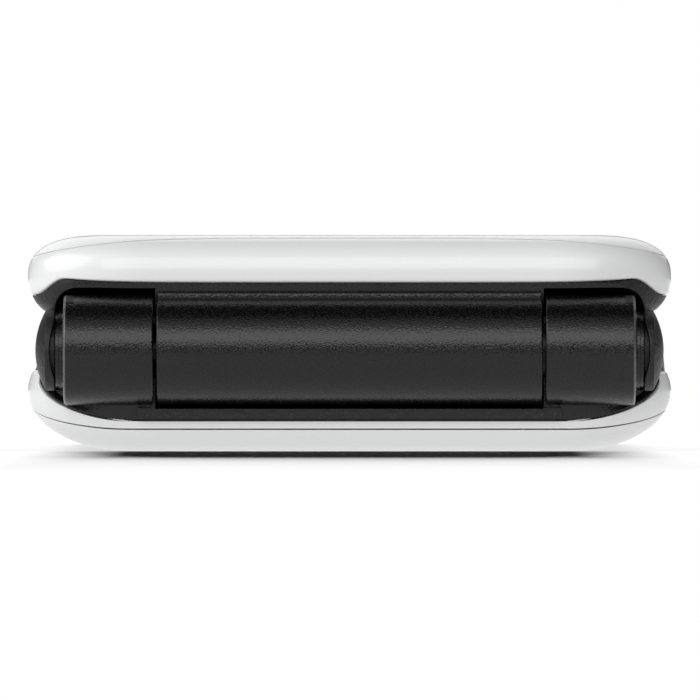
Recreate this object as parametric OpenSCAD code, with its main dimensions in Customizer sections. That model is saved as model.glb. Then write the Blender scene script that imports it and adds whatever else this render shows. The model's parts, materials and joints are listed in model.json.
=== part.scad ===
// Flip phone, closed. X runs across the phone, Y along it with the hinge at -Y, Z up from the
// back of the keypad half. The lid turns about the hinge line, its far end rising.

/* [Phone] */
// Width over the widest part of both halves
phone_w = 57.6; // [52:0.2:63]
// Length of the closed phone, hinge barrel included
phone_l = 108; // [98:0.5:118]
// Thickness of the closed phone
phone_t = 19.3; // [18.2:0.1:21]
// Height of the keypad half, from its back to its top face
base_h = 12; // [10.8:0.1:13]
// Gap between the two halves when closed
lid_gap = 0.3; // [0.25:0.05:0.4]
// Reach of the hinge end's rounded corners across the phone
hinge_corner_x = 10.5; // [10.2:0.1:12]
// Reach of the hinge end's rounded corners along the phone
hinge_corner_y = 6.6; // [6.5:0.1:9]
// Corner radius at the far end, seen from above
far_corner_r = 14; // [11:0.5:16]
// How far the far end bows out at its middle
end_crown = 2; // [0.5:0.5:3]
// Points along each rounded corner
corner_steps = 11; // [8:1:14]

/* [Keypad half] */
// Height of the back shell's widest line, as a share of the half's height
belly_share = 0.45; // [0.43:0.01:0.47]
// How far the back's rounding reaches in from each side
belly_reach = 8.8; // [8:0.1:9]
// Share of a side's rounding that an end has
belly_end_share = 0.57; // [0.5:0.01:0.65]
// Rise of the back shell's upper rim above its widest line, along the sides
rim_rise = 1.7; // [1.6:0.05:1.8]
// Height of that rim at the middle of the hinge end, as a share of the widest line's height
rim_end_share = 0.5; // [0.48:0.01:0.52]
// Distance from the side to where the rim starts to sweep down
rim_sweep_in = 0.7; // [0.6:0.1:0.9]
// Distance from the side to where that sweep levels out
rim_level_in = 8.8; // [8.3:0.1:9.3]
// Drop of the battery cover's seam below the widest line, along the sides
cover_drop = 1.6; // [1.5:0.05:1.8]
// Height of that seam at the middle of each end, as a share of the widest line's height
cover_end_share = 0.365; // [0.355:0.005:0.385]
// Step from the back shell's side in to the keypad frame's side
frame_step = 0.8; // [0.6:0.1:1]
// How far the keypad frame's upper rounding reaches in
frame_reach = 8; // [7.5:0.5:8.5]
// Height over which that rounding would come to an end
frame_rise = 7.57; // [7.2:0.1:8]
// Wall of the back shell
shell_wall = 1.6; // [1.4:0.1:1.8]
// Wall of the keypad frame
frame_wall = 1.4; // [1.2:0.1:1.5]
// Wall of the battery cover
cover_wall = 1.2; // [1:0.1:1.25]

/* [Lid] */
// Height of the lid's upper rounding, from its widest line to its top
lid_crown = 3.7; // [3.5:0.05:3.8]
// How far the lid's rounding reaches in from each side
lid_reach = 6.8; // [6.4:0.1:7.2]
// Share of a side's rounding that an end has
lid_end_share = 0.66; // [0.6:0.02:0.7]
// Depth below the lid at which its lower rounding would come to an end
lid_depth = 1; // [0.9:0.1:1.3]
// Squareness of the lid's rounding, 2 being an ellipse
lid_power = 2.5; // [2.3:0.1:2.8]
// Height of the outer ring's lower edge above the lid's lower face, along the sides
ring_rise = 1.2; // [1.1:0.05:1.3]
// Height of that edge above the knuckles, at the middle of the hinge end
ring_clear = 1.13; // [1.1:0.01:1.2]
// Further rise of that edge towards the hinge corners
ring_corner_rise = 0.27; // [0.2:0.01:0.35]
// Depth of the top panel's seam below the top, along the sides
seam_drop = 1.95; // [1.8:0.05:2.1]
// Depth of that seam below the top at the middle of each end
seam_end_drop = 0.23; // [0.22:0.01:0.27]
// Wall of the ring and the top panel
lid_wall = 1.3; // [1.1:0.1:1.4]
// Thickness of the inner frame's plate
lid_plate = 1.3; // [1.2:0.05:1.35]

/* [Hinge] */
// Height of the hinge line, as a share of the keypad half's height
hinge_share = 0.75; // [0.745:0.005:0.755]
// Room between the knuckles and the back shell's rim
knuckle_room = 1.4; // [1.35:0.05:1.6]
// Step from the knuckles' radius to the barrel's
barrel_step = 0.05; // [0:0.05:0.15]
// Length of the middle barrel
barrel_w = 34.3; // [32:0.1:35]
// Gap between barrel and knuckle along the hinge line
knuckle_gap = 0.3; // [0.2:0.05:0.35]
// Rounding of the knuckles' outer rims
rim_round = 0.4; // [0.2:0.05:0.6]
// Step from a knuckle's radius to its neck's
neck_step = 1.5; // [1.4:0.05:1.7]
// Length of the neck between knuckle and ear
neck_w = 0.7; // [0.5:0.1:0.8]
// Radius of the ear where the frame's side ends at the hinge, as a share of the hinge line's height
ear_share = 0.4; // [0.39:0.005:0.405]
// Distance from the ear's inner face to the phone's side
ear_in = 2.65; // [2.5:0.05:2.8]
// Clearance round the barrel in the keypad frame
pocket_gap = 0.45; // [0.42:0.01:0.5]
// Clearance of the lid's arches over the knuckles
arch_gap = 0.7; // [0.6:0.05:0.75]
// Distance of both halves' hinge ends behind the hinge line
end_setback = 1; // [0.9:0.05:1.1]
// Radius of the bores for the hinge parts
hinge_bore_r = 2.5; // [2.3:0.1:2.6]
// Running clearance of the hinge parts in their bores
running_gap = 0.05; // [0.03:0.01:0.08]
// Radius of the hinge shaft
shaft_r = 1.1; // [1:0.05:1.2]

/* [Screens] */
// Distance from the phone's sides to the inner window
window_in = 5.5; // [5.2:0.1:6.5]
// Distance from the hinge line to the inner window
window_from_hinge = 19.3; // [19:0.1:21]
// Distance from the inner window to the far end
window_from_far = 17.2; // [17:0.1:19]
// Thickness of the inner window
window_t = 0.7; // [0.6:0.05:0.75]
// Width of the outer window
outer_w = 36; // [30:0.5:38]
// Length of the outer window
outer_l = 26; // [20:0.5:28]
// Distance of the outer window's middle from the phone's middle
outer_y = 2; // [0:0.5:5]

/* [Keypad] */
// Distance from the phone's sides to the keypad panel
panel_in = 4.8; // [4.5:0.1:5]
// Distance from the hinge line to the keypad panel
panel_from_hinge = 11.1; // [11:0.1:11.5]
// Distance from the keypad panel to the far end
panel_from_far = 14; // [13.6:0.1:14.2]
// Margin of the digit keys along the panel's sides
digit_margin = 1.5; // [1.4:0.1:2]
// Space between digit keys side by side
digit_space_x = 1.6; // [1.4:0.1:2.4]
// Space between rows of digit keys
digit_space_y = 1.8; // [1.6:0.1:2.6]
// Distance from the panel's hinge end to the first row of digit keys
digit_from_end = 34.8; // [34.6:0.1:35]
// Distance from the last row of digit keys to the panel's far end
digit_to_end = 8.4; // [8:0.1:9]
// Outer radius of the navigation ring
nav_r = 9.4; // [8.8:0.1:9.5]
// Radius of the middle key
ok_r = 4.2; // [3.8:0.1:4.6]
// Distance from the panel's hinge end to the navigation ring's middle
nav_from_end = 16; // [15.8:0.1:16.2]
// Clearance of a key in its hole
key_gap = 0.2; // [0.15:0.05:0.25]
// Travel of a key
key_travel = 0.4; // [0.3:0.05:0.4]
// Height of a key above the panel
key_rise = 0.4; // [0.3:0.05:0.45]

/* [Inside and ports] */
// Width of the battery
battery_w = 36; // [32:0.5:38]
// Distance from the hinge line to the battery bay
bay_from_hinge = 20.8; // [20.5:0.1:22]
// Distance from the battery bay to the far end
bay_from_far = 27.7; // [27.5:0.1:30]
// Thickness of the main board
board_t = 0.8; // [0.7:0.1:0.9]
// Radius of the headphone socket's bore
jack_r = 1.8; // [1.75:0.01:1.8]
// Depth of the headphone socket's bore
jack_deep = 12; // [11:0.5:13]
// Width and height of the charging socket's mouth
usb_mouth = [8.4, 2.6]; // [2:0.1:9]
// Length of the volume rocker
rocker_l = 16; // [12:1:20]
// Distance of the volume rocker from the phone's middle
rocker_y = -16; // [-20:1:-10]
// Clearance between pieces that lie side by side
fit_gap = 0.1; // [0.05:0.01:0.12]

/* [Hidden] */
$fn = 48;
cut = 0.02;
past = 1;
tight_gap = 0.05;
loose_gap = 0.3;
half_w = phone_w / 2;

// Heights of the keypad half
belly_z = base_h * belly_share;
rim_side_z = belly_z + rim_rise;
rim_end_z = belly_z * rim_end_share;
cover_side_z = belly_z - cover_drop;
cover_end_z = belly_z * cover_end_share;
hinge_z = base_h * hinge_share;

// Radii of the hinge, and the places along the phone that follow from them
knuckle_r = hinge_z - rim_end_z - knuckle_room;
barrel_r = knuckle_r - barrel_step;
neck_r = knuckle_r - neck_step;
ear_r = hinge_z * ear_share;
far_y = phone_l / 2;
hinge_y = knuckle_r - phone_l / 2;
end_y = hinge_y - end_setback;

// Heights of the lid
lid_z = base_h + lid_gap;
lid_mid_z = phone_t - lid_crown;
lid_drop = lid_mid_z - lid_z + lid_depth;
ring_side_z = lid_z + ring_rise;
ring_end_z = hinge_z + knuckle_r + ring_clear;
ring_corner_z = ring_end_z + ring_corner_rise;
seam_side_z = phone_t - seam_drop;
seam_end_z = phone_t - seam_end_drop;

rim_sweep_x = half_w - rim_sweep_in;
rim_level_x = half_w - rim_level_in;

// Each station of a plan outline is the middle of a corner's arc, its two reaches and its angle.
function corner(at, reach, from) =
    [for (i = [0 : corner_steps]) concat(at, reach, from + 90 * i / corner_steps)];
function edge(at, reach, a) = [for (t = [-0.5, 0, 0.5]) concat(at[0] * t, at[1], reach, a)];
far_reach = [far_corner_r, far_corner_r];
hinge_reach = [hinge_corner_x, hinge_corner_y];
far_at = [half_w - far_corner_r, far_y - far_corner_r];
hinge_at = [half_w - hinge_corner_x, end_y + hinge_corner_y];
function other(at) = [-at[0], at[1]];
stations = concat(corner(far_at, far_reach, 0), edge(other(far_at), far_reach, 90),
    corner(other(far_at), far_reach, 90), corner(other(hinge_at), hinge_reach, 180),
    edge(hinge_at, hinge_reach, 270), corner(hinge_at, hinge_reach, -90));

function is_hinge_end(s) = s[1] < 0;
function across(s) = s[0] + s[2] * cos(s[4]);
function bow(s) = is_hinge_end(s) ? 0 : end_crown * pow(across(s) / half_w, 2);
function place(s, in_x, in_y, z) =
    [s[0] + (s[2] - in_x) * cos(s[4]), s[1] + (s[3] - in_y) * sin(s[4]) - bow(s), z];
function steps(n) = [for (i = [0 : n]) i / n];
function clamped(t) = min(1, max(0, t));
function blend(t) = t * t * (3 - 2 * t);

// Closed surface through rings of points, each ring counted anticlockwise from above.
module skin(rings, loop = false) {
    n = len(rings[0]);
    m = len(rings);
    sides = [for (j = [0 : m - (loop ? 1 : 2)], i = [0 : n - 1])
        let (k = (j + 1) % m, h = (i + 1) % n)
        each [[j * n + i, k * n + i, k * n + h], [j * n + i, k * n + h, j * n + h]]];
    caps = loop ? [] : [[for (i = [0 : n - 1]) i], [for (i = [n - 1 : -1 : 0]) (m - 1) * n + i]];
    polyhedron(points = [for (r = rings) each r], faces = concat(sides, caps), convexity = 8);
}

// Seams: the height of each one at a station.
function rim_z(s) = !is_hinge_end(s) ? rim_side_z
    : let (u = clamped((abs(across(s)) - rim_level_x) / (rim_sweep_x - rim_level_x)))
      rim_side_z - (rim_side_z - rim_end_z) * sqrt(1 - u * u);
function cover_z(s) = let (u = clamped((abs(across(s)) - rim_level_x) / (half_w - rim_level_x)))
    cover_side_z - (cover_side_z - cover_end_z) * sqrt(1 - u * u);
function ring_z(s) = !is_hinge_end(s) ? ring_side_z
    : let (x = abs(across(s)), bend = blend(clamped((half_w - ring_flat - x) / ring_bend)),
           high = ring_end_z + (ring_corner_z - ring_end_z) * min(1, x / (half_w - ring_flat - ring_bend)))
      ring_side_z + (high - ring_side_z) * bend;
ring_flat = 0.4;
ring_bend = 4.6;
seam_power = 4;
seam_sharp = 0.7;
function seam_z(s) = seam_side_z + (seam_end_z - seam_side_z)
    * pow(1 - pow(min(1, abs(across(s)) / half_w), seam_power), seam_sharp);

// How far a shell's side lies in from the widest line at a height.
function belly_in(z) = belly_reach * (1 - sqrt(1 - pow((z - belly_z) / belly_z, 2)));
shoulder = 0.3;
function frame_in(z) = z > hinge_z
    ? frame_step + frame_reach * (1 - sqrt(1 - pow((z - hinge_z) / frame_rise, 2)))
    : max(frame_step, z < belly_z ? belly_in(z) + shoulder : 0);
function lid_turn(z) = asin(pow(min(1, (z - lid_mid_z) / (phone_t - lid_mid_z)), lid_power / 2));
function lid_in(z) = z > lid_mid_z ? lid_reach * (1 - pow(cos(lid_turn(z)), 2 / lid_power))
    : lid_reach * (1 - pow(1 - pow((lid_mid_z - z) / lid_drop, lid_power), 1 / lid_power));

function shell_point(s, z, deep = 0) =
    place(s, belly_in(z) + deep, belly_in(z) * belly_end_share + deep, z);
function frame_point(s, z, deep = 0) =
    place(s, frame_in(z) + deep, frame_in(z) * belly_end_share + deep, z);
function cover_point(s, a, deep = 0) = let (d = belly_reach * (1 - cos(a)))
    place(s, d + deep * cos(a), d * belly_end_share + deep * cos(a),
          belly_z * (1 - sin(a)) + deep * sin(a));
function lid_point(s, z, deep = 0) = let (d = lid_in(z), a = z > lid_mid_z ? lid_turn(z) : 0)
    place(s, d + deep * cos(a), d * lid_end_share + deep * cos(a), z - deep * sin(a));
function lid_height(a) = lid_mid_z + (phone_t - lid_mid_z) * pow(sin(a), 2 / lid_power);

module plan(inset) {
    polygon([for (s = stations) let (p = place(s, inset, inset, 0)) [p[0], p[1]]]);
}
module slab(z0, z1) {
    translate([0, 0, z0]) linear_extrude(z1 - z0) children();
}
module block(x0, x1, y0, y1, z0, z1) {
    translate([x0, y0, z0]) cube([x1 - x0, y1 - y0, z1 - z0]);
}
module post(x, y, r, z0, z1) {
    translate([x, y, z0]) cylinder(r = r, h = z1 - z0);
}
module rounded(w, l, r) {
    square([w - 2 * r, l], center = true);
    if (l > 2 * r + cut) square([w, l - 2 * r], center = true);
    for (x = [-1, 1], y = [-1, 1]) translate([x * (w / 2 - r), y * (l / 2 - r)]) circle(r);
}
// Cylinder along the hinge line between two places across the phone.
module along_hinge(r, x0, x1) {
    translate([x0, hinge_y, hinge_z]) rotate([0, 90, 0]) cylinder(r = r, h = x1 - x0);
}
function four(near_x, near_y, far_x, far_y) =
    [[near_x, near_y], [-near_x, near_y], [far_x, far_y], [-far_x, far_y]];
module both_sides() {
    children();
    mirror([1, 0, 0]) children();
}

// ---- Hinge places ----
barrel_x = barrel_w / 2;
knuckle_x0 = barrel_x + knuckle_gap;
ear_x0 = half_w - ear_in;
knuckle_x1 = ear_x0 - neck_w;
pocket_x = barrel_x + knuckle_gap / 2;
pocket_r = barrel_r + pocket_gap;
arch_r = knuckle_r + arch_gap;
trough_wall = 1;
trough_in = 0.25;
arch_x1 = knuckle_x1 + knuckle_gap;
bore_x1 = knuckle_x1 - trough_wall;
seam_gap = 0.06;
ear_gap = 0.3;
top_t = 2;
ledge = 1.6;

// ---- Places of the keypad panel and its keys ----
panel_w = phone_w - 2 * panel_in;
panel_y0 = hinge_y + panel_from_hinge;
panel_y1 = far_y - panel_from_far;
panel_l = panel_y1 - panel_y0;
panel_y = (panel_y0 + panel_y1) / 2;
panel_t = 0.9;
panel_sink = 0.35;
panel_z1 = base_h - panel_sink;
panel_z0 = panel_z1 - panel_t;
digit_pitch_x = (panel_w - 2 * digit_margin) / 3;
digit_w = digit_pitch_x - digit_space_x;
digit_y = panel_y0 + digit_from_end;
digit_pitch_y = (panel_y1 - digit_to_end - digit_y) / 3;
digit_l = digit_pitch_y - digit_space_y;
nav_y = panel_y0 + nav_from_end;

// ---- Keypad half ----
module base_frame() {
    color([0.13, 0.13, 0.14]) difference() {
        union() {
            difference() {
                skin(frame_rings());
                along_hinge(pocket_r + trough_wall, -knuckle_x0 - trough_wall, knuckle_x0 + trough_wall);
            }
            intersection() {
                along_hinge(pocket_r + trough_wall, -knuckle_x0 - trough_wall - cut,
                            knuckle_x0 + trough_wall + cut);
                block(-half_w, half_w, end_y + trough_in, far_y, rim_end_z + seam_gap, base_h);
            }
            both_sides() knuckle();
            both_sides() ear();
            for (p = frame_bosses) post(p[0], p[1], boss_r, bay_roof_z + fit_gap, base_h - top_t / 2);
        }
        along_hinge(pocket_r, -pocket_x, pocket_x);
        along_hinge(hinge_bore_r, -bore_x1, bore_x1);
        translate([0, panel_y, 0]) slab(panel_z0 - fit_gap / 2, base_h + past)
            rounded(panel_w + 2 * fit_gap, panel_l + 2 * fit_gap, panel_corner);
        translate([0, panel_y, 0]) slab(base_h - top_t - past, base_h)
            rounded(panel_w - 2 * ledge, panel_l - 2 * ledge, panel_corner - ledge / 2);
        post(mic_x, mic_y, mic_hole_r, base_h - top_t - past, base_h + past);
        for (p = frame_bosses) post(p[0], p[1], screw_r + tight_gap, bay_roof_z, base_h - top_t);
        rocker_slot();
    }
}
panel_corner = 4;
boss_r = 2;
screw_r = 0.7;
boss_in = [4.1, 10.3];
boss_from_hinge = 11.6;
boss_from_far = 8.4;
frame_bosses = four(half_w - boss_in[0], hinge_y + boss_from_hinge,
                    half_w - boss_in[1], far_y - boss_from_far);
lip_h = 0.17;
lip_in = 0.1;
edge_round = 0.6;

function frame_rings() = let (lip = function (s) rim_z(s) + seam_gap, z1 = base_h)
    concat(
        [[for (s = stations) frame_point(s, z1 - top_t, frame_wall)]],
        [[for (s = stations) frame_point(s, (lip(s) + z1 - top_t) / 2, frame_wall)]],
        [[for (s = stations) let (z = lip(s)) place(s, frame_in(z) + frame_wall,
            frame_in(z) * belly_end_share + frame_wall, z)]],
        [for (t = [0, lip_h]) [for (s = stations) shell_point(s, lip(s) + t, lip_in)]],
        [for (t = steps(5)) [for (s = stations)
            frame_point(s, (lip(s) + 3 * lip_h) * (1 - t) + (z1 - 2 * edge_round) * t)]],
        [for (t = steps(3)) [for (s = stations) let (z = z1 - edge_round * (1 - sin(90 * t)))
            frame_point(s, z, edge_round * (1 - cos(90 * t)))]]);

// A knuckle with its rounded outer rim, the neck beside it and the root behind it.
module knuckle() {
    translate([0, hinge_y, hinge_z]) rotate([90, 0, 90]) rotate_extrude()
        polygon([[0, knuckle_x0], [knuckle_r, knuckle_x0], [knuckle_r, knuckle_x1 - rim_round],
                 [knuckle_r - rim_round * (1 - cos(30)), knuckle_x1 - rim_round * (1 - sin(30))],
                 [knuckle_r - rim_round * (1 - cos(60)), knuckle_x1 - rim_round * (1 - sin(60))],
                 [knuckle_r - rim_round, knuckle_x1], [neck_r, knuckle_x1], [neck_r, ear_x0 + cut],
                 [0, ear_x0 + cut]]);
    block(knuckle_x0, knuckle_x1 - rim_round, hinge_y, hinge_y + pocket_r + trough_wall,
          hinge_z - knuckle_r + rim_round, base_h - edge_round);
}
// An ear: the round end of the frame's side, domed outwards as the side is.
ear_steps = 6;
ear_root_l = [2.2, 9];
ear_top_gap = 0.1;
function ear_out(r) = half_w - frame_in(hinge_z + r);
module ear() {
    translate([0, hinge_y, hinge_z]) rotate([90, 0, 90]) rotate_extrude()
        polygon(concat([[0, ear_x0], [ear_r, ear_x0]],
                       [for (t = steps(ear_steps)) [ear_r * (1 - t), ear_out(ear_r * (1 - t))]]));
    ear_block(ear_root_l[0], -ear_r);
    ear_block(ear_root_l[1], rim_side_z + seam_gap - hinge_z);
}
module ear_block(l, low) {
    top = base_h - hinge_z - ear_top_gap;
    translate([0, hinge_y + l, hinge_z]) rotate([90, 0, 0]) linear_extrude(l)
        polygon(concat([[ear_x0, top], [ear_x0, low]],
                       [for (t = steps(2 * ear_steps)) let (h = low + (top - low) * t)
                           [ear_out(abs(h)) - cut, h]]));
}

// ---- Battery bay in the back shell ----
roof_below_rim = 0.35;
bay_roof_z = rim_side_z - roof_below_rim;
bay_roof_t = 0.6;
bay_roof_in = 1.2;
floor_gap = 0.25;
bay_floor_z = cover_wall + floor_gap;
bay_wall = 1;
bay_y0 = hinge_y + bay_from_hinge + bay_wall;
bay_y1 = far_y - bay_from_far - bay_wall;
bay_x = battery_w / 2 + loose_gap;
battery_play = 0.4;
battery_h = bay_roof_z - bay_roof_t - bay_floor_z - battery_play;
boss_base_z = 2;
trough_back = hinge_y + pocket_r + trough_wall + loose_gap;

module base_shell() {
    color([0.93, 0.93, 0.93]) difference() {
        union() {
            skin(shell_rings(), loop = true);
            intersection() {
                slab(bay_roof_z - bay_roof_t, bay_roof_z) plan(bay_roof_in);
                block(-half_w, half_w, trough_back, bay_y1 + bay_wall, 0, base_h);
            }
            difference() {
                block(-bay_x - bay_wall, bay_x + bay_wall, bay_y0 - bay_wall, bay_y1 + bay_wall,
                      bay_floor_z, bay_roof_z - bay_roof_t / 2);
                block(-bay_x, bay_x, bay_y0, bay_y1, 0, bay_roof_z - bay_roof_t);
                block(-contact_w / 2 - loose_gap, contact_w / 2 + loose_gap, bay_y0, far_y,
                      0, bay_roof_z - bay_roof_t);
            }
            for (p = frame_bosses) if (p[1] > 0) far_boss(p);
        }
        for (p = frame_bosses) {
            post(p[0], p[1], screw_r + loose_gap, 0, base_h);
            post(p[0], p[1], head_r + head_gap, 0, screw_seat(p));
        }
        translate([sim_at[0], sim_at[1], 0]) slab(bay_roof_z - past, bay_roof_z + past)
            square([sim_size[0] + 4 * fit_gap, sim_size[1] + 4 * fit_gap], center = true);
        translate([usb_x, far_y + past, usb_z]) rotate([90, 0, 0]) linear_extrude(port_deep)
            rounded(usb_mouth[0] + 2 * (usb_wall + fit_gap), usb_mouth[1] + 2 * (usb_wall + fit_gap),
                    usb_mouth[1] / 2 + usb_wall);
        translate([jack_x, far_y + past, jack_z]) rotate([90, 0, 0])
            cylinder(r = nozzle_r + fit_gap, h = port_deep);
        rocker_slot();
    }
}
head_r = 1.6;
head_h = 0.6;
head_gap = 0.15;
port_deep = 6;
arm_l = 3;
arm_back = 0.2;
function screw_seat(p) = bay_roof_z - bay_roof_t - (p[1] > 0 ? head_h : 0);
// A far screw's boss, with an arm that joins it to the shell's side.
module far_boss(p) {
    side = sign(p[0]);
    post(p[0], p[1], boss_r, boss_base_z, bay_roof_z);
    block(min(side * (half_w - shell_wall), p[0]), max(side * (half_w - shell_wall), p[0]),
          p[1] - arm_l - arm_back, p[1] - arm_back, bay_roof_z - bay_roof_t, bay_roof_z);
}
function shell_rings() = let (low = function (s) cover_z(s) + seam_gap / 2, high = function (s) rim_z(s))
    concat([for (t = steps(4)) [for (s = stations) shell_point(s, low(s) * (1 - t) + high(s) * t)]],
           [for (t = [1, 0.5, 0]) [for (s = stations)
               let (z = low(s) * (1 - t) + high(s) * t, b = max(belly_in(z), 0))
               place(s, b + shell_wall, b * belly_end_share + shell_wall, z)]]);

module battery_cover() {
    color([0.93, 0.93, 0.93]) difference() {
        skin(cover_rings());
        for (i = [-2 : 2]) translate([speaker_at[0], speaker_at[1] + i * slot_pitch, 0])
            slab(-past, cover_wall + past) rounded(slot_size[0], slot_size[1], slot_size[1] / 2);
    }
}
slot_size = [9, 0.8];
slot_pitch = 1.8;
function cover_turn(s) = asin(1 - (cover_z(s) - seam_gap / 2) / belly_z);
function cover_rings() =
    concat([for (t = steps(5)) [for (s = stations) cover_point(s, 90 * (1 - t) + cover_turn(s) * t)]],
           [for (t = steps(4)) [for (s = stations)
               let (p = cover_point(s, cover_turn(s) * (1 - t) + 90 * t, cover_wall))
               [p[0], p[1], min(p[2], cover_z(s) - seam_gap / 2)]]]);

module battery() {
    color([0.32, 0.34, 0.37]) translate([0, (bay_y0 + bay_y1) / 2, bay_floor_z])
        slab(0, battery_h) rounded(battery_w, bay_y1 - bay_y0 - 2 * loose_gap, battery_round);
}
battery_round = 1.2;

// ---- Board and what stands on it ----
board_z = bay_roof_z + fit_gap;
board_top = board_z + board_t;
board_in = 4.2;
board_edge = half_w - board_in;
board_from_trough = 0.8;
module main_board() {
    color([0.1, 0.35, 0.2]) difference() {
        intersection() {
            slab(board_z, board_top) plan(board_in);
            block(-half_w, half_w, trough_back + board_from_trough, far_y, 0, base_h);
        }
        for (p = frame_bosses) post(p[0], p[1], boss_r + loose_gap, 0, base_h);
    }
}
shield_w = 9;
shield_h = 2.6;
shield_in = 11.6;
shield_x = shield_in - half_w;
shield_round = 0.8;
shield_gap = [0.8, 1.5];
shield_y0 = bay_y1 + bay_wall + shield_gap[0];
shield_y1 = far_y - boss_from_far - boss_r - shield_gap[1];
module shield_can() {
    color([0.72, 0.73, 0.75]) translate([shield_x, (shield_y0 + shield_y1) / 2, 0])
        slab(board_z - shield_h, board_z) rounded(shield_w, shield_y1 - shield_y0, shield_round);
}
sim_size = [15, 13, 0.9];
sim_at = [7, 4];
sim_rim = 1;
sim_slot = 0.5;
module sim_holder() {
    color([0.75, 0.75, 0.76]) translate([sim_at[0], sim_at[1], board_z - sim_size[2]]) difference() {
        slab(0, sim_size[2]) square([sim_size[0], sim_size[1]], center = true);
        block(sim_rim - sim_size[0] / 2, sim_size[0] / 2 - sim_rim,
              -sim_size[1], sim_size[1] / 2 - 2 * sim_rim, -past, sim_slot);
    }
}
usb_wall = 0.3;
usb_x = -6;
usb_down = 0.5;
usb_z = belly_z - usb_down;
usb_l = 7.4;
usb_sink = 0.9;
tongue_share = 0.78;
tongue_t = 0.7;
tongue_sink = 1.2;
leg_size = [1.6, 2];
leg_back = 0.5;
module usb_port() {
    color([0.7, 0.71, 0.73]) translate([usb_x, far_y - usb_sink, usb_z]) rotate([90, 0, 0]) {
        difference() {
            linear_extrude(usb_l)
                rounded(usb_mouth[0] + 2 * usb_wall, usb_mouth[1] + 2 * usb_wall,
                        usb_mouth[1] / 2 + usb_wall);
            translate([0, 0, -past]) linear_extrude(usb_l)
                rounded(usb_mouth[0], usb_mouth[1], usb_mouth[1] / 2);
        }
        translate([-usb_mouth[0] * tongue_share / 2, -tongue_t / 2, tongue_sink])
            cube([usb_mouth[0] * tongue_share, tongue_t, usb_l - tongue_sink - leg_back]);
        for (x = [-1, 1])
            translate([x * usb_mouth[0] / 4 - leg_size[0] / 2, 0, usb_l - leg_size[1] - leg_back])
                cube([leg_size[0], board_z - usb_z, leg_size[1]]);
    }
}
jack_x = 9.5;
jack_down = 0.8;
jack_z = belly_z - jack_down;
nozzle_r = 2.1;
nozzle_l = 1.6;
nozzle_out = 0.2;
jack_body = [5.6, 11.6, 4.1];
module headphone_jack() {
    color([0.1, 0.1, 0.11]) translate([jack_x, far_y - shell_wall + nozzle_out, jack_z]) rotate([90, 0, 0])
        difference() {
            union() {
                cylinder(r = nozzle_r, h = 2 * nozzle_l);
                translate([-jack_body[0] / 2, -jack_body[2] / 2, nozzle_l])
                    cube([jack_body[0], board_z - jack_z + jack_body[2] / 2, jack_body[1]]);
            }
            translate([0, 0, -past]) cylinder(r = jack_r, h = jack_deep + past);
        }
}
speaker_size = [15, 10];
speaker_round = 2.5;
mesh_round = 2;
speaker_at = [8, bay_y0 - bay_wall - loose_gap - speaker_size[1] / 2];
module loudspeaker() {
    color([0.2, 0.2, 0.21]) translate([speaker_at[0], speaker_at[1], 0])
        slab(bay_floor_z + loose_gap, bay_roof_z - bay_roof_t - tight_gap)
            rounded(speaker_size[0], speaker_size[1], speaker_round);
}
mesh_size = [12, 9.4];
module speaker_mesh() {
    color([0.3, 0.3, 0.31]) translate([speaker_at[0], speaker_at[1], 0])
        slab(cover_wall + cut, bay_floor_z + loose_gap - tight_gap)
            rounded(mesh_size[0], mesh_size[1], mesh_round);
}
motor_r = 2;
motor_l = 10;
motor_x = -18;
module vibration_motor() {
    color([0.68, 0.68, 0.7])
        translate([motor_x, speaker_at[1], bay_roof_z - bay_roof_t - motor_r - tight_gap])
            rotate([0, 90, 0]) cylinder(r = motor_r, h = motor_l);
}
mic_x = 0;
mic_from_far = 9;
mic_y = far_y - mic_from_far;
mic_hole_r = 0.5;
mic_size = [3.8, 2.8, 1];
mic_tube_r = 1.1;
module microphone() {
    color([0.6, 0.6, 0.58]) translate([mic_x, mic_y, 0]) difference() {
        union() {
            slab(board_top, board_top + mic_size[2]) square([mic_size[0], mic_size[1]], center = true);
            post(0, 0, mic_tube_r, board_top, base_h - top_t - tight_gap);
        }
        post(0, 0, mic_hole_r, board_top + mic_size[2] / 2, base_h);
    }
}
dome_h = 0.3;
dome_t = 0.1;
function digit_at(i) = [digit_pitch_x * (1 - i % 3), digit_y + digit_pitch_y * floor(i / 3)];
side_gap = 1.3;
side_margin = 2.3;
side_x0 = nav_r + side_gap;
side_x1 = panel_w / 2 - side_margin;
soft_l = 7.4;
soft_back = 6.6;
call_l = 11;
call_ahead = 5.2;
soft_at = [(side_x0 + side_x1) / 2, nav_y - soft_back];
call_at = [(side_x0 + side_x1) / 2, nav_y + call_ahead];
soft_size = [side_x1 - side_x0, soft_l];
call_size = [side_x1 - side_x0, call_l];
module each_dome() {
    for (i = [0 : 11]) translate(digit_at(i)) children();
    for (x = [-1, 1]) {
        translate([x * soft_at[0], soft_at[1]]) children();
        translate([x * call_at[0], call_at[1]]) children();
        translate([x * nav_reach, nav_y]) children();
        translate([0, nav_y + x * nav_reach]) children();
    }
    translate([0, nav_y]) scale([ok_nub_share, ok_nub_share]) children();
}
nav_reach = (nav_r + ok_r) / 2;
nub_r = 1.2;
ok_nub_share = 0.7;
sheet_in = 2;
module dome_sheet() {
    color([0.78, 0.78, 0.74]) union() {
        translate([0, panel_y, board_top]) slab(cut, cut + dome_t)
            rounded(panel_w - 2 * sheet_in, panel_l - 2 * sheet_in, panel_corner - sheet_in);
        slab(board_top + dome_t, board_top + dome_h) each_dome() circle(nub_r);
    }
}
mat_z = board_top + dome_h + tight_gap;
mat_t = 0.3;
module key_mat() {
    color([0.55, 0.56, 0.58]) translate([0, panel_y, mat_z]) slab(0, mat_t)
        rounded(panel_w - 2 * sheet_in, panel_l - 2 * sheet_in, panel_corner - sheet_in);
}
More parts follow.
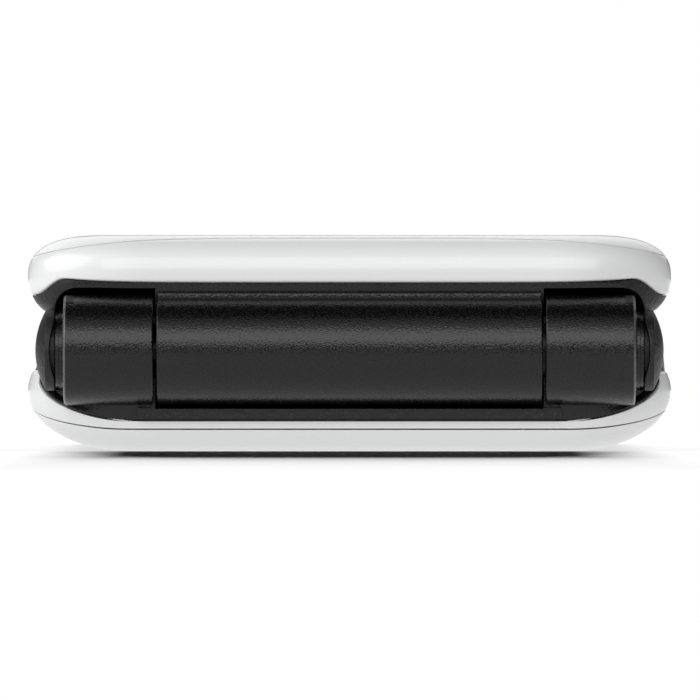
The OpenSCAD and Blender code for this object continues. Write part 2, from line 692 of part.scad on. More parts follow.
module keypad_panel() {
    color([0.08, 0.08, 0.09]) difference() {
        translate([0, panel_y, 0]) slab(panel_z0, panel_z1) rounded(panel_w, panel_l, panel_corner);
        slab(panel_z0 - past, base_h) key_outlines(key_gap);
    }
}
module key_outlines(gap) {
    for (i = [0 : 11]) translate(digit_at(i))
        rounded(digit_w + 2 * gap, digit_l + 2 * gap, digit_round + gap);
    translate([0, nav_y]) circle(nav_r + gap);
    for (x = [-1, 1]) {
        translate([x * soft_at[0], soft_at[1]])
            rounded(soft_size[0] + 2 * gap, soft_size[1] + 2 * gap, digit_round + gap);
        translate([x * call_at[0], call_at[1]])
            rounded(call_size[0] + 2 * gap, call_size[1] + 2 * gap, digit_round + gap);
    }
}
digit_round = 2.2;
flange = 0.5;
flange_t = 0.7;
key_top = panel_z1 + key_rise;
flange_z1 = panel_z0 - fit_gap;
flange_z0 = flange_z1 - flange_t;
nub_z = mat_z + mat_t + key_travel + cut;
// Each step of a key's eased top edge: how far in and how far down.
key_ease = [[0.1, 0.2], [0.25, 0.08]];

// One key: a cap with an eased top edge, a flange under the panel and a nub over its dome.
module key(at, size) {
    translate(at) {
        slab(flange_z1 - cut, key_top - key_ease[0][1]) rounded(size[0], size[1], digit_round);
        slab(key_top - key_ease[0][1] - cut, key_top - key_ease[1][1]) key_cap(size, key_ease[0][0]);
        slab(key_top - key_ease[1][1] - cut, key_top) key_cap(size, key_ease[1][0]);
        slab(flange_z0, flange_z1) rounded(size[0] + 2 * flange, size[1] + 2 * flange, digit_round);
        slab(nub_z, flange_z0 + cut) circle(nub_r);
    }
}
module key_cap(size, inset) {
    rounded(size[0] - 2 * inset, size[1] - 2 * inset, digit_round - inset);
}
module digit_key(i) {
    color([0.14, 0.14, 0.15]) key(digit_at(i), [digit_w, digit_l]);
}
module soft_left() { color([0.14, 0.14, 0.15]) key(soft_at, soft_size); }
module soft_right() { color([0.14, 0.14, 0.15]) key([-soft_at[0], soft_at[1]], soft_size); }
module call_key() { color([0.1, 0.45, 0.2]) key(call_at, call_size); }
module end_key() { color([0.6, 0.1, 0.1]) key([-call_at[0], call_at[1]], call_size); }
nav_ease = [0.25, 0.15];
module nav_ring() {
    color([0.5, 0.51, 0.53]) translate([0, nav_y]) difference() {
        union() {
            slab(flange_z1 - cut, key_top - nav_ease[1]) circle(nav_r);
            slab(key_top - nav_ease[1] - cut, key_top) circle(nav_r - nav_ease[0]);
            slab(flange_z0, flange_z1) circle(nav_r + flange);
            for (a = [0 : 90 : 270]) rotate(a) translate([nav_reach, 0])
                slab(nub_z, flange_z0 + cut) circle(nub_r);
        }
        slab(flange_z0 - past, key_top + past) circle(ok_r + key_gap);
        slab(flange_z0 - past, flange_z1 + flange_t / 2) circle(ok_r + key_gap + flange);
    }
}
module ok_key() {
    color([0.14, 0.14, 0.15]) translate([0, nav_y]) {
        slab(flange_z0, key_top - nav_ease[1]) circle(ok_r);
        slab(key_top - nav_ease[1] - cut, key_top) circle(ok_r - nav_ease[0]);
        slab(flange_z0, flange_z1 - fit_gap) circle(ok_r + flange - fit_gap);
        slab(nub_z, flange_z0 + cut) circle(nub_r * ok_nub_share);
    }
}

// Volume rocker, in a slot that crosses the seam of frame and back shell.
rocker_up = [0.3, 0.05];
rocker_z = [belly_z + rocker_up[0], hinge_z + rocker_up[1]];
rocker_out = 0.12;
rocker_deep = 2.2;
rocker_in = half_w - rocker_deep;
rocker_gap = 0.2;
rocker_lean = 0.72;
rocker_round = 0.3;
rocker_root = 1;
flange_x = [1.6, 0.9];
flange_z = [1.3, 0.5];
flange_y = 1;
slot_deep = 1.9;
slot_x = rocker_in - slot_deep;
module rocker_slot() {
    block(slot_x, half_w + past, rocker_y - rocker_l / 2 - rocker_gap, rocker_y + rocker_l / 2 + rocker_gap,
          rocker_z[0] - rocker_gap, rocker_z[1] + rocker_gap);
}
function rocker_face(z) = half_w + rocker_out
    - rocker_lean * (z - rocker_z[0]) / (rocker_z[1] - rocker_z[0]);
module volume_key() {
    color([0.6, 0.61, 0.62]) {
        translate([0, rocker_y + rocker_l / 2, 0]) rotate([90, 0, 0]) linear_extrude(rocker_l)
            polygon([[rocker_in - rocker_root, rocker_z[0]],
                     [rocker_face(rocker_z[0]) - rocker_round, rocker_z[0]],
                     [rocker_face(rocker_z[0] + rocker_round), rocker_z[0] + rocker_round],
                     [rocker_face(rocker_z[1] - rocker_round), rocker_z[1] - rocker_round],
                     [rocker_face(rocker_z[1]) - rocker_round, rocker_z[1]],
                     [rocker_in - rocker_root, rocker_z[1]]]);
        block(rocker_in - flange_x[0], rocker_in - flange_x[1],
              rocker_y - rocker_l / 2 - flange_y, rocker_y + rocker_l / 2 + flange_y,
              rocker_z[0] + flange_z[0], rocker_z[1] + flange_z[1]);
    }
}
switch_size = [2.4, 11, 0.9];
module volume_switch() {
    color([0.75, 0.75, 0.72]) {
        block(board_edge - switch_size[0], slot_x - tight_gap, rocker_y - switch_size[1] / 2,
              rocker_y + switch_size[1] / 2, board_top, board_top + switch_size[2]);
    }
}

contact_w = 8;
contact_l = 3;
contact_z = 3.2;
pin_w = 1;
pin_pitch = 2.6;
pin_z = [3.6, 4.6];
module battery_contacts() {
    color([0.75, 0.62, 0.3]) translate([0, bay_y1 + bay_wall + 2 * fit_gap, 0]) {
        block(-contact_w / 2, contact_w / 2, 0, contact_l, contact_z, board_z);
        for (i = [-1 : 1]) translate([i * pin_pitch, 0, 0])
            block(-pin_w / 2, pin_w / 2, -bay_wall - loose_gap, 0, pin_z[0], pin_z[1]);
    }
}
screw_end = 0.5;
module base_screws() {
    color([0.6, 0.6, 0.62]) for (p = frame_bosses) {
        post(p[0], p[1], head_r, screw_seat(p) - head_h, screw_seat(p));
        post(p[0], p[1], screw_r, screw_seat(p) - cut, base_h - top_t - screw_end);
    }
}
case_x0 = 1;
shaft_lap = 1;
shaft_end = 1.2;
module hinge_shaft() {
    color([0.66, 0.67, 0.69]) {
        along_hinge(hinge_bore_r - running_gap, -bore_x1 + fit_gap, -knuckle_x0 - fit_gap);
        along_hinge(shaft_r, -knuckle_x0 - shaft_lap, -case_x0 - shaft_lap - shaft_end);
    }
}
bush_x0 = 9;
bush_in_r = 1.8;
module hinge_bush() {
    color([0.66, 0.67, 0.69]) difference() {
        along_hinge(hinge_bore_r - running_gap, bush_x0, bore_x1 - fit_gap);
        along_hinge(bush_in_r, bush_x0 - past, bore_x1);
    }
}

// ---- Lid ----
module lid_ring() {
    color([0.94, 0.94, 0.94]) skin(ring_rings(), loop = true);
}
function ring_rings() =
    concat([for (t = steps(6)) [for (s = stations)
               lid_point(s, ring_z(s) * (1 - t) + (seam_z(s) - seam_gap) * t)]],
           [for (t = [1, 0.5, 0]) [for (s = stations)
               lid_point(s, ring_z(s) * (1 - t) + (seam_z(s) - seam_gap) * t, lid_wall)]]);

module lid_panel() {
    color([0.95, 0.95, 0.95]) difference() {
        union() {
            skin(panel_rings());
            for (p = lid_bosses)
                post(p[0], p[1], boss_r, lid_z + lid_plate + fit_gap, phone_t - lid_wall / 2);
        }
        translate([0, outer_y, 0]) {
            slab(phone_t - window_t - fit_gap, phone_t + past)
                rounded(outer_w + 2 * fit_gap, outer_l + 2 * fit_gap, window_corner);
            slab(phone_t - lid_wall - past, phone_t)
                rounded(outer_w - 2 * window_ledge, outer_l - 2 * window_ledge,
                        window_corner - window_ledge);
        }
        translate(camera_at) post(0, 0, lens_r + fit_gap, phone_t - lid_wall - past, phone_t + past);
        translate(flash_at) post(0, 0, flash_r + fit_gap, phone_t - lid_wall - past, phone_t + past);
        for (p = lid_bosses) post(p[0], p[1], screw_r + tight_gap, lid_z, phone_t - lid_wall - loose_gap);
    }
}
window_corner = 3;
window_ledge = 1;
function panel_rings() = let (a0 = function (s) lid_turn(seam_z(s)))
    concat([for (t = steps(3)) [for (s = stations)
               lid_point(s, lid_height(90 * (1 - t) + a0(s) * t), lid_wall)]],
           [for (t = steps(5)) [for (s = stations) lid_point(s, lid_height(a0(s) * (1 - t) + 90 * t))]]);
lid_boss_in = [6.4, 7.3];
lid_boss_from_hinge = 11.1;
lid_boss_from_far = 11;
lid_bosses = four(half_w - lid_boss_in[0], hinge_y + lid_boss_from_hinge,
                  half_w - lid_boss_in[1], far_y - lid_boss_from_far);
camera_from_hinge = 16.1;
camera_at = [-9, hinge_y + camera_from_hinge];
lens_r = 3.4;
flash_at = [-17, hinge_y + camera_from_hinge];
flash_r = 1.6;

frame_out = 0.12;
lip_share = 0.39;
lip_up = lip_share * (seam_side_z - ring_corner_z);
lip_t = 0.8;
tray_in = frame_out + lid_wall + fit_gap;
roof_t = 0.7;
roof_in = 0.58;
roof_past = [0.6, 0.8];
roof_x0 = barrel_x - roof_past[0];
roof_x1 = arch_x1 + roof_past[1];
module lid_frame() {
    plate_z = lid_z + lid_plate;
    color([0.12, 0.12, 0.13]) difference() {
        union() {
            skin(tray_rings());
            intersection() {
                both_sides() along_hinge(arch_r + roof_t, roof_x0, roof_x1);
                slab(lid_z, phone_t) plan(tray_in + roof_in);
            }
            along_hinge(barrel_r, -barrel_x, barrel_x);
            block(-barrel_x + loose_gap, barrel_x - loose_gap, hinge_y - rib_front, hinge_y + rib_back,
                  hinge_z + rib_low, hinge_z + knuckle_r + rib_rise);
        }
        both_sides() along_hinge(arch_r, pocket_x, arch_x1);
        both_sides() along_hinge(ear_r + ear_gap, arch_x1 - cut, half_w);
        along_hinge(hinge_bore_r, -barrel_x - cut, -case_x0);
        along_hinge(hinge_bore_r, flex_x[0] - flex_gap - 2 * fit_gap, barrel_x + cut);
        block(flex_x[0] - flex_gap, flex_x[1] + flex_gap, hinge_y, hinge_y + flex_slot, hinge_z, flex_z);
        block(flex_x[0] - flex_gap, flex_x[1] + flex_gap, hinge_y, hinge_y + notch_l,
              flex_z - notch_down, flex_z + notch_up);
        translate([0, window_y, 0]) {
            slab(lid_z - past, lid_z + window_t + fit_gap)
                rounded(window_w + 2 * fit_gap, window_l + 2 * fit_gap, window_corner);
            slab(lid_z, plate_z + past)
                rounded(window_w - 2 * opening_in[0], window_l - 2 * opening_in[1], opening_corner);
        }
        translate([0, ear_y, 0]) slab(lid_z - past, plate_z + past)
            rounded(ear_slot[0], ear_slot[1], ear_slot[1] / 2);
        for (p = lid_bosses) {
            post(p[0], p[1], screw_r + loose_gap, lid_z - past, plate_z + past);
            post(p[0], p[1], bumper_r + tight_gap, lid_z - past, lid_z + head_h + bumper_sink);
        }
    }
}
rib_front = 1.3;
rib_back = 4.1;
rib_low = 2;
rib_rise = 0.05;
flex_x = [2.5, 7.5];
flex_gap = 0.3;
flex_slot = 1.2;
notch_l = 3;
notch_down = 0.5;
notch_up = 0.9;
opening_in = [2, 4];
opening_corner = 1.5;
ear_from_far = 12;
ear_y = far_y - ear_from_far;
ear_slot = [9, 1.6];
bumper_r = 1.8;
bumper_sink = 0.2;
foot = 0.25;
foot_in = 0.3;
function tray_rings() = let (high = function (s) ring_z(s) - seam_gap, top = lid_z + lid_plate,
                             inner = function (s, more, z) let (d = lid_in(high(s)) + more)
                                 place(s, d, lid_in(high(s)) * lid_end_share + more, z))
    concat([[for (s = stations) lid_point(s, lid_z, frame_out + foot_in)]],
           [for (t = steps(4)) [for (s = stations)
               lid_point(s, (lid_z + foot) * (1 - t) + high(s) * t, frame_out)]],
           [for (up = [0, lip_up]) [for (s = stations) inner(s, tray_in, high(s) + up)]],
           [[for (s = stations) inner(s, tray_in + lip_t, high(s) + lip_up)]],
           [[for (s = stations) inner(s, tray_in + lip_t, top)]]);

// ---- Screens and parts inside the lid ----
window_w = phone_w - 2 * window_in;
window_y0 = hinge_y + window_from_hinge;
window_y1 = far_y - window_from_far;
window_l = window_y1 - window_y0;
window_y = (window_y0 + window_y1) / 2;
window_sink = 0.03;
module display_window() {
    color([0.05, 0.05, 0.06]) translate([0, window_y, 0])
        slab(lid_z + window_sink, lid_z + window_t + window_sink)
            rounded(window_w, window_l, window_corner - fit_gap);
}
room_h = phone_t - lid_wall - lid_z - lid_plate;
display_share = 0.41;
display_t = room_h * display_share;
display_z = lid_z + lid_plate + tight_gap;
display_in = 0.8;
display_shift = 1;
module main_display() {
    color([0.2, 0.22, 0.26]) translate([0, window_y - display_shift, 0])
        slab(display_z, display_z + display_t)
            square([window_w - 2 * display_in, window_l - 2 * opening_in[1]], center = true);
}
lid_board_z = display_z + display_t + fit_gap;
lid_board_t = 0.6;
lid_board_in = 2.3;
board_short = [1.2, 2.8];
lid_board_y0 = window_y0 + board_short[0];
lid_board_y1 = window_y1 - board_short[1];
module lid_board() {
    x = window_w / 2 - lid_board_in;
    color([0.1, 0.35, 0.2])
        block(-x, x, lid_board_y0, lid_board_y1, lid_board_z, lid_board_z + lid_board_t);
}
outer_z = lid_board_z + lid_board_t + tight_gap;
outer_out = 1.5;
module outer_display() {
    color([0.16, 0.18, 0.2]) translate([0, outer_y, 0]) slab(outer_z, phone_t - lid_wall - tight_gap)
        square([outer_w + 2 * outer_out, outer_l + 2 * outer_out], center = true);
}
module outer_window() {
    color([0.04, 0.04, 0.05]) translate([0, outer_y, 0])
        slab(phone_t - window_t - tight_gap, phone_t - tight_gap)
            rounded(outer_w, outer_l, window_corner - fit_gap);
}
earpiece_size = [12, 6];
earpiece_round = 1.5;
earpiece_share = 0.59;
cloth_t = 0.2;
module earpiece() {
    color([0.25, 0.25, 0.26]) translate([0, ear_y, 0])
        slab(display_z + cloth_t + tight_gap, display_z + room_h * earpiece_share)
            rounded(earpiece_size[0], earpiece_size[1], earpiece_round);
}
cloth_size = [11, 4];
cloth_round = 1;
cloth_sink = 0.5;
module earpiece_mesh() {
    plug = [ear_slot[0] - fit_gap, ear_slot[1] - fit_gap];
    color([0.35, 0.35, 0.36]) translate([0, ear_y, 0]) {
        slab(lid_z + cloth_sink, display_z + cut) rounded(plug[0], plug[1], plug[1] / 2);
        slab(display_z, display_z + cloth_t) rounded(cloth_size[0], cloth_size[1], cloth_round);
    }
}
camera_w = 8;
camera_z = phone_t - lid_wall - loose_gap;
lens_t = 0.75;
lens_sink = 0.2;
lens_z = [phone_t - lens_sink - lens_t, phone_t - lens_sink];
module camera_module() {
    color([0.12, 0.12, 0.13]) translate([camera_at[0], camera_at[1], 0]) {
        slab(display_z, camera_z) square([camera_w, camera_w], center = true);
        slab(camera_z - cut, lens_z[0] - tight_gap) circle(lens_r - 4 * fit_gap);
    }
}
module camera_lens() {
    color([0.05, 0.05, 0.07]) translate([camera_at[0], camera_at[1], 0])
        slab(lens_z[0], lens_z[1]) circle(lens_r);
}
flash_w = 4;
flash_base = [2.4, 3];
flash_t = 0.85;
flash_sink = 0.15;
flash_z = [phone_t - lid_wall - tight_gap - flash_t, phone_t - lid_wall - tight_gap];
flash_top = phone_t - flash_sink;
module flash_led() {
    color([0.95, 0.93, 0.8]) translate([flash_at[0], flash_at[1], 0]) {
        slab(flash_z[0], flash_z[1]) square([flash_w, flash_w], center = true);
        slab(flash_z[1] - cut, flash_top) circle(flash_r);
        slab(display_z, flash_z[0] + cut) square([flash_base[0], flash_base[1]], center = true);
    }
}
magnet_x = [10, 16];
magnet_l = 3;
magnet_share = 0.34;
module lid_magnet() {
    color([0.7, 0.7, 0.72]) block(magnet_x[0], magnet_x[1], ear_y - magnet_l / 2, ear_y + magnet_l / 2,
                                  display_z, display_z + room_h * magnet_share);
}
lid_screw_end = 0.7;
module lid_screws() {
    seat = lid_z + head_h + bumper_sink;
    color([0.6, 0.6, 0.62]) for (p = lid_bosses) {
        post(p[0], p[1], head_r, seat - head_h, seat);
        post(p[0], p[1], screw_r, seat - cut, phone_t - lid_wall - lid_screw_end);
    }
}
module bumpers() {
    color([0.2, 0.2, 0.21]) for (p = lid_bosses)
        post(p[0], p[1], bumper_r, base_h + tight_gap, lid_z + bumper_sink - cut);
}
spring_turns = 7;
spring_wire = 0.3;
case_wall = 0.4;
case_end = [1.2, 3];
module hinge_case() {
    color([0.6, 0.61, 0.63]) difference() {
        along_hinge(hinge_bore_r - running_gap, -barrel_x + 2 * fit_gap, -case_x0 - fit_gap);
        along_hinge(shaft_r + running_gap, -barrel_x, -case_x0 - shaft_end);
        along_hinge(hinge_bore_r - case_wall, -barrel_x + case_end[0], -case_x0 - case_end[1]);
    }
}
// Coil spring round the shaft, inside the hinge case.
module hinge_spring() {
    per_turn = 10;
    sides = 6;
    r = (shaft_r + hinge_bore_r - case_wall) / 2;
    x0 = -barrel_x + case_end[0] + spring_wire + fit_gap;
    x1 = -case_x0 - case_end[1] - spring_wire - fit_gap;
    n = spring_turns * per_turn;
    wire = [for (i = [0 : n]) let (a = 360 * i / per_turn) [for (k = [0 : sides - 1])
        let (b = 360 * k / sides, q = r + spring_wire * cos(b))
        [x0 + (x1 - x0) * i / n + spring_wire * sin(b), hinge_y + q * cos(a), hinge_z + q * sin(a)]]];
    color([0.55, 0.56, 0.58]) skin(wire);
}
// Flexible circuit from the lid's board into the barrel, rolled where it passes along the hinge line.
flex_t = 0.3;
flex_z = lid_board_z - tight_gap;
flex_back = 0.4;
flex_y = hinge_y + flex_back;
flex_low = 1.2;
flex_lap = 1.4;
roll_t = 0.25;
module display_flex() {
    color([0.75, 0.45, 0.15]) {
        block(flex_x[0], flex_x[1], flex_y, flex_y + flex_t, hinge_z + flex_low, flex_z);
        block(flex_x[0], flex_x[1], flex_y, lid_board_y0 + flex_lap, flex_z - flex_t, flex_z);
        difference() {
            along_hinge(bush_in_r - flex_gap, flex_x[0], bore_x1 - shaft_lap);
            along_hinge(bush_in_r - flex_gap - roll_t, flex_x[0] - past, bore_x1);
        }
    }
}

base_frame();
base_shell();
battery_cover();
battery();
main_board();
shield_can();
sim_holder();
usb_port();
headphone_jack();
loudspeaker();
speaker_mesh();
vibration_motor();
microphone();
dome_sheet();
key_mat();
keypad_panel();
battery_contacts();
volume_switch();
base_screws();
hinge_shaft();
hinge_bush();
lid_frame();
lid_ring();
lid_panel();
display_window();
main_display();
outer_window();
outer_display();
earpiece();
earpiece_mesh();
camera_module();
camera_lens();
flash_led();
lid_board();
lid_magnet();
bumpers();
lid_screws();
hinge_case();
hinge_spring();
display_flex();
volume_key();
nav_ring();
ok_key();
soft_left();
soft_right();
call_key();
end_key();
digit_key(0);  // key_1
digit_key(1);  // key_2
digit_key(2);  // key_3
digit_key(3);  // key_4
digit_key(4);  // key_5
digit_key(5);  // key_6
digit_key(6);  // key_7
digit_key(7);  // key_8
digit_key(8);  // key_9
digit_key(9);  // key_star
digit_key(10);  // key_0
digit_key(11);  // key_hash
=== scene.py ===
# A closed flip phone on a pale floor. The scene is in metres; sizes in the code are in millimetres.
import json
import math
import bpy
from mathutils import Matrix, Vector


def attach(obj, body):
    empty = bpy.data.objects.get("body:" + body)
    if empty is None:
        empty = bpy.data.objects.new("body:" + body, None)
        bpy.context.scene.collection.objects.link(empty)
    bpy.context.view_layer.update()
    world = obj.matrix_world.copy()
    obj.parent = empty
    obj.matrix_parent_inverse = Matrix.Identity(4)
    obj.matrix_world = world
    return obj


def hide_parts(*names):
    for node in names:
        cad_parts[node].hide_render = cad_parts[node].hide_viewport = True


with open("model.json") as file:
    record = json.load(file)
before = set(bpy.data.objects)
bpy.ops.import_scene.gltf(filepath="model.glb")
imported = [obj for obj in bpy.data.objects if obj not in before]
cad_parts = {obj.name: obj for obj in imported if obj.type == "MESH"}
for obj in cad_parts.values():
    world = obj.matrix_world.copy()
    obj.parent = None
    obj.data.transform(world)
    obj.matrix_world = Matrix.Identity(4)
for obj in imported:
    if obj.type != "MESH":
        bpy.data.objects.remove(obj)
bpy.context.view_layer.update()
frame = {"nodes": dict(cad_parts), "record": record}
mm = 0.001
past = 1.0  # how far a cutter runs past what it cuts
print("frame loaded:", len(frame["nodes"]), "nodes")


def select(*objects):
    # leaves edit mode and selects only these, the last of them active
    if bpy.context.object and bpy.context.object.mode != "OBJECT":
        bpy.ops.object.mode_set(mode="OBJECT")
    bpy.ops.object.select_all(action="DESELECT")
    for obj in objects:
        obj.select_set(True)
    if objects:
        bpy.context.view_layer.objects.active = objects[-1]


def named(obj, name):
    obj.name = obj.data.name = name
    return obj


def freeze(obj, name):
    # puts the place, turn and scale into the mesh
    select(obj)
    bpy.ops.object.transform_apply(location=True, rotation=True, scale=True)
    return named(obj, name)


def modify(obj, kind, **settings):
    select(obj)
    modifier = obj.modifiers.new(kind.title(), kind)
    for key, value in settings.items():
        setattr(modifier, key, value)
    bpy.ops.object.modifier_apply(modifier=modifier.name)
    return obj


def combine(obj, operation, others):
    for other in others:
        modify(obj, "BOOLEAN", object=other, operation=operation, solver="EXACT")
        bpy.data.objects.remove(other)
    return obj


def carve(obj, *cutters):
    return combine(obj, "DIFFERENCE", cutters)


def fuse(obj, *parts):
    return combine(obj, "UNION", parts)


def keepInside(obj, *limits):
    return combine(obj, "INTERSECT", limits)


def editAll(obj):
    select(obj)
    bpy.ops.object.mode_set(mode="EDIT")
    bpy.ops.mesh.select_mode(type="VERT")
    bpy.ops.mesh.select_all(action="SELECT")


def leaveEdit():
    bpy.ops.object.mode_set(mode="OBJECT")


def roundEdges(obj, width, steps, test):
    # rounds the edges whose two ends pass the test
    select(obj)
    bpy.ops.object.mode_set(mode="EDIT")
    bpy.ops.mesh.select_mode(type="EDGE")
    bpy.ops.mesh.select_all(action="DESELECT")
    leaveEdit()
    for edge in obj.data.edges:
        edge.select = test(*[obj.data.vertices[i].co / mm for i in edge.vertices])
    bpy.ops.object.mode_set(mode="EDIT")
    bpy.ops.mesh.bevel(offset=width * mm, segments=steps, profile=0.5, affect="EDGES")
    leaveEdit()
    return obj


def easeEdges(obj, width, steps=3, angle=50):
    # rounds every edge that turns by more than the angle
    return modify(obj, "BEVEL", width=width * mm, segments=steps, limit_method="ANGLE",
                  angle_limit=math.radians(angle))


def outward(obj, merge=1e-8):
    editAll(obj)
    bpy.ops.mesh.remove_doubles(threshold=merge)
    bpy.ops.mesh.dissolve_degenerate(threshold=1e-9)
    bpy.ops.mesh.delete_loose(use_verts=True, use_edges=True, use_faces=False)
    bpy.ops.mesh.normals_make_consistent(inside=False)
    leaveEdit()
    # a solid whose volume comes out negative is inside out
    obj.data.calc_loop_triangles()
    corners = [[obj.data.vertices[i].co for i in tri.vertices] for tri in obj.data.loop_triangles]
    if sum(a.dot(b.cross(c)) for a, b, c in corners) < 0:
        editAll(obj)
        bpy.ops.mesh.flip_normals()
        leaveEdit()
    return obj


def smooth(obj, angle=32):
    select(obj)
    bpy.ops.object.shade_smooth_by_angle(angle=math.radians(angle))
    return obj


def gang(*objects):
    # several separate shapes as one mesh
    select(*objects)
    bpy.ops.object.join()
    return bpy.context.object


def finishPiece(obj, body, slot, *nodes, finish=None):
    # the slot's own finish, unless the piece is given one
    obj.data.materials.clear()
    obj.data.materials.append(finish or finishes[slot])
    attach(obj, body)
    if nodes:
        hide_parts(*nodes)
    return obj


def bothSides(make):
    return [make(1), make(-1)]


# starting shapes
def rod(name, radius, start, end, sides=128):
    select()
    a, b = Vector(start) * mm, Vector(end) * mm
    turn = (b - a).to_track_quat("Z", "Y").to_euler()
    bpy.ops.mesh.primitive_cylinder_add(vertices=sides, radius=radius * mm, depth=(b - a).length,
                                        location=(a + b) / 2, rotation=turn)
    return freeze(bpy.context.object, name)


def post(name, radius, at, z0, z1, sides=128):
    return rod(name, radius, (*at, z0), (*at, z1), sides)


def posts(name, radius, places, z0, z1, sides):
    return [post(name, radius, at, z0, z1, sides) for at in places]


def hingeRod(name, radius, x0, x1, sides=128):
    y, z = phone["hingeY"], phone["hingeZ"]
    return rod(name, radius, (x0, y, z), (x1, y, z), sides)


def brick(name, low, high):
    select()
    a, b = Vector(low) * mm, Vector(high) * mm
    bpy.ops.mesh.primitive_cube_add(size=1, location=(a + b) / 2, scale=b - a)
    return freeze(bpy.context.object, name)


def sideBrick(name, side, low, high):
    # a brick on the right side, or its mirror image on the left
    x0, x1 = sorted((side * low[0], side * high[0]))
    return brick(name, (x0, *low[1:]), (x1, *high[1:]))


def plate(name, width, length, radius, z0, z1, at=(0, 0), steps=8):
    # a rounded rectangle with upright sides
    x, y = at
    obj = brick(name, (x - width / 2, y - length / 2, z0), (x + width / 2, y + length / 2, z1))
    return outward(roundEdges(obj, radius, steps, lambda a, b: abs(a.z - b.z) > 1e-4))


def slotCutter(width, length, z0, z1, at=(0, 0), steps=8):
    # both ends fully round
    return plate("cut", width, length, min(width, length) / 2 - 0.01, z0, z1, at, steps)


def outlineFace(points):
    # a flat face through points, from a circle of as many corners
    select()
    bpy.ops.mesh.primitive_circle_add(vertices=len(points), radius=mm, fill_type="NGON")
    obj = bpy.context.object
    for vertex, point in zip(obj.data.vertices, points):
        vertex.co = Vector(point) * mm
    return obj


def prism(name, points, move):
    # an outline drawn out along a straight line
    obj = outlineFace(points)
    editAll(obj)
    bpy.ops.mesh.extrude_region_move(TRANSFORM_OT_translate={"value": Vector(move) * mm})
    leaveEdit()
    return outward(named(obj, name))


def turned(name, profile, centre, axis="X", steps=128):
    # a profile of (place along the axis, radius) spun about a line through centre
    def at(along, radius):
        if axis == "X":
            return centre[0] + along, centre[1] - radius, centre[2]
        return centre[0] - radius, centre[1], centre[2] + along
    obj = outlineFace([at(*point) for point in profile])
    editAll(obj)
    bpy.ops.mesh.delete(type="ONLY_FACE")
    bpy.ops.mesh.select_all(action="SELECT")
    bpy.ops.mesh.spin(steps=steps, angle=2 * math.pi, center=Vector(centre) * mm,
                      axis=(1, 0, 0) if axis == "X" else (0, 0, 1))
    leaveEdit()
    outward(named(obj, name), 1e-7)
    # each flat end becomes one face
    editAll(obj)
    bpy.ops.mesh.dissolve_limited(angle_limit=math.radians(0.2))
    leaveEdit()
    return obj


def arc(centre, radius, start, end, steps):
    # points (along, radius) of an arc, angles counted from the axis
    made = []
    for i in range(steps + 1):
        a = math.radians(start + (end - start) * i / steps)
        made.append((centre[0] + radius * math.cos(a), centre[1] + radius * math.sin(a)))
    return made


def copyOf(obj, name, move):
    other = obj.copy()
    other.data = obj.data.copy()
    bpy.context.scene.collection.objects.link(other)
    other.location = Vector(move) * mm
    return freeze(other, name)


# the form that the two shells share
phone = {
    "halfWidth": 28.8, "farY": 54.0, "endY": -50.1, "hingeY": -49.1, "hingeZ": 9.0,
    "top": 19.3, "baseTop": 12.0, "lidBottom": 12.3,
    "hingeCorner": (10.5, 6.6), "farCorner": (14.0, 14.0), "endCrown": 2.0,
    "cornerSteps": 30, "endSteps": 40, "sideSteps": 12,
}
hingeAt = (0, phone["hingeY"], phone["hingeZ"])


def outlineStations():
    # (middle of the arc, its two reaches, angle) for each place round the outline
    half = phone["halfWidth"]
    stations = []

    def corner(sideX, sideY, start):
        reach = phone["farCorner"] if sideY > 0 else phone["hingeCorner"]
        y = phone["farY"] - reach[1] if sideY > 0 else phone["endY"] + reach[1]
        steps = phone["cornerSteps"]
        for i in range(steps + 1):
            stations.append((sideX * (half - reach[0]), y, *reach, start + 90 * i / steps))

    def run(angle, first, last, count):
        # evenly spaced between the corners' ends
        for i in range(1, count):
            t = i / count
            stations.append((*[first[k] * (1 - t) + last[k] * t for k in range(4)], angle))

    corner(1, 1, 0)
    farRight = stations[-1]
    run(90, farRight, (-farRight[0], *farRight[1:4]), phone["endSteps"])
    corner(-1, 1, 90)
    reach = phone["hingeCorner"]
    run(180, stations[-1], (-(half - reach[0]), phone["endY"] + reach[1], *reach), phone["sideSteps"])
    corner(-1, -1, 180)
    nearLeft = stations[-1]
    run(270, nearLeft, (-nearLeft[0], *nearLeft[1:4]), phone["endSteps"])
    corner(1, -1, 270)
    run(360, stations[-1], stations[0], phone["sideSteps"])
    return stations


def across(s):
    return s[0] + s[2] * math.cos(math.radians(s[4]))


def atHinge(s):
    return s[1] < 0


def place(s, inX, inY, z):
    turn = math.radians(s[4])
    bow = 0 if atHinge(s) else phone["endCrown"] * (across(s) / phone["halfWidth"]) ** 2
    return Vector((s[0] + (s[2] - inX) * math.cos(turn), s[1] + (s[3] - inY) * math.sin(turn) - bow, z))


def sunk(s, back, share, deep, z):
    # set back from the outline, by a share of that at the ends, and then deep under the surface
    return place(s, back + deep, back * share + deep, z)


def clamped(t):
    return min(1.0, max(0.0, t))


def softened(points, radii):
    # turns a section's named corners into short arcs
    steps = 4
    made = []
    for i, point in enumerate(points):
        radius = radii.get(i, radii.get(i - len(points)))
        if radius is None:
            made.append(point)
            continue
        before, after = points[i - 1], points[(i + 1) % len(points)]
        a = point + (before - point) * min(0.48, radius / (before - point).length)
        b = point + (after - point) * min(0.48, radius / (after - point).length)
        for k in range(steps + 1):
            t = k / steps
            made.append(a * (1 - t) ** 2 + point * 2 * t * (1 - t) + b * t * t)
    return made


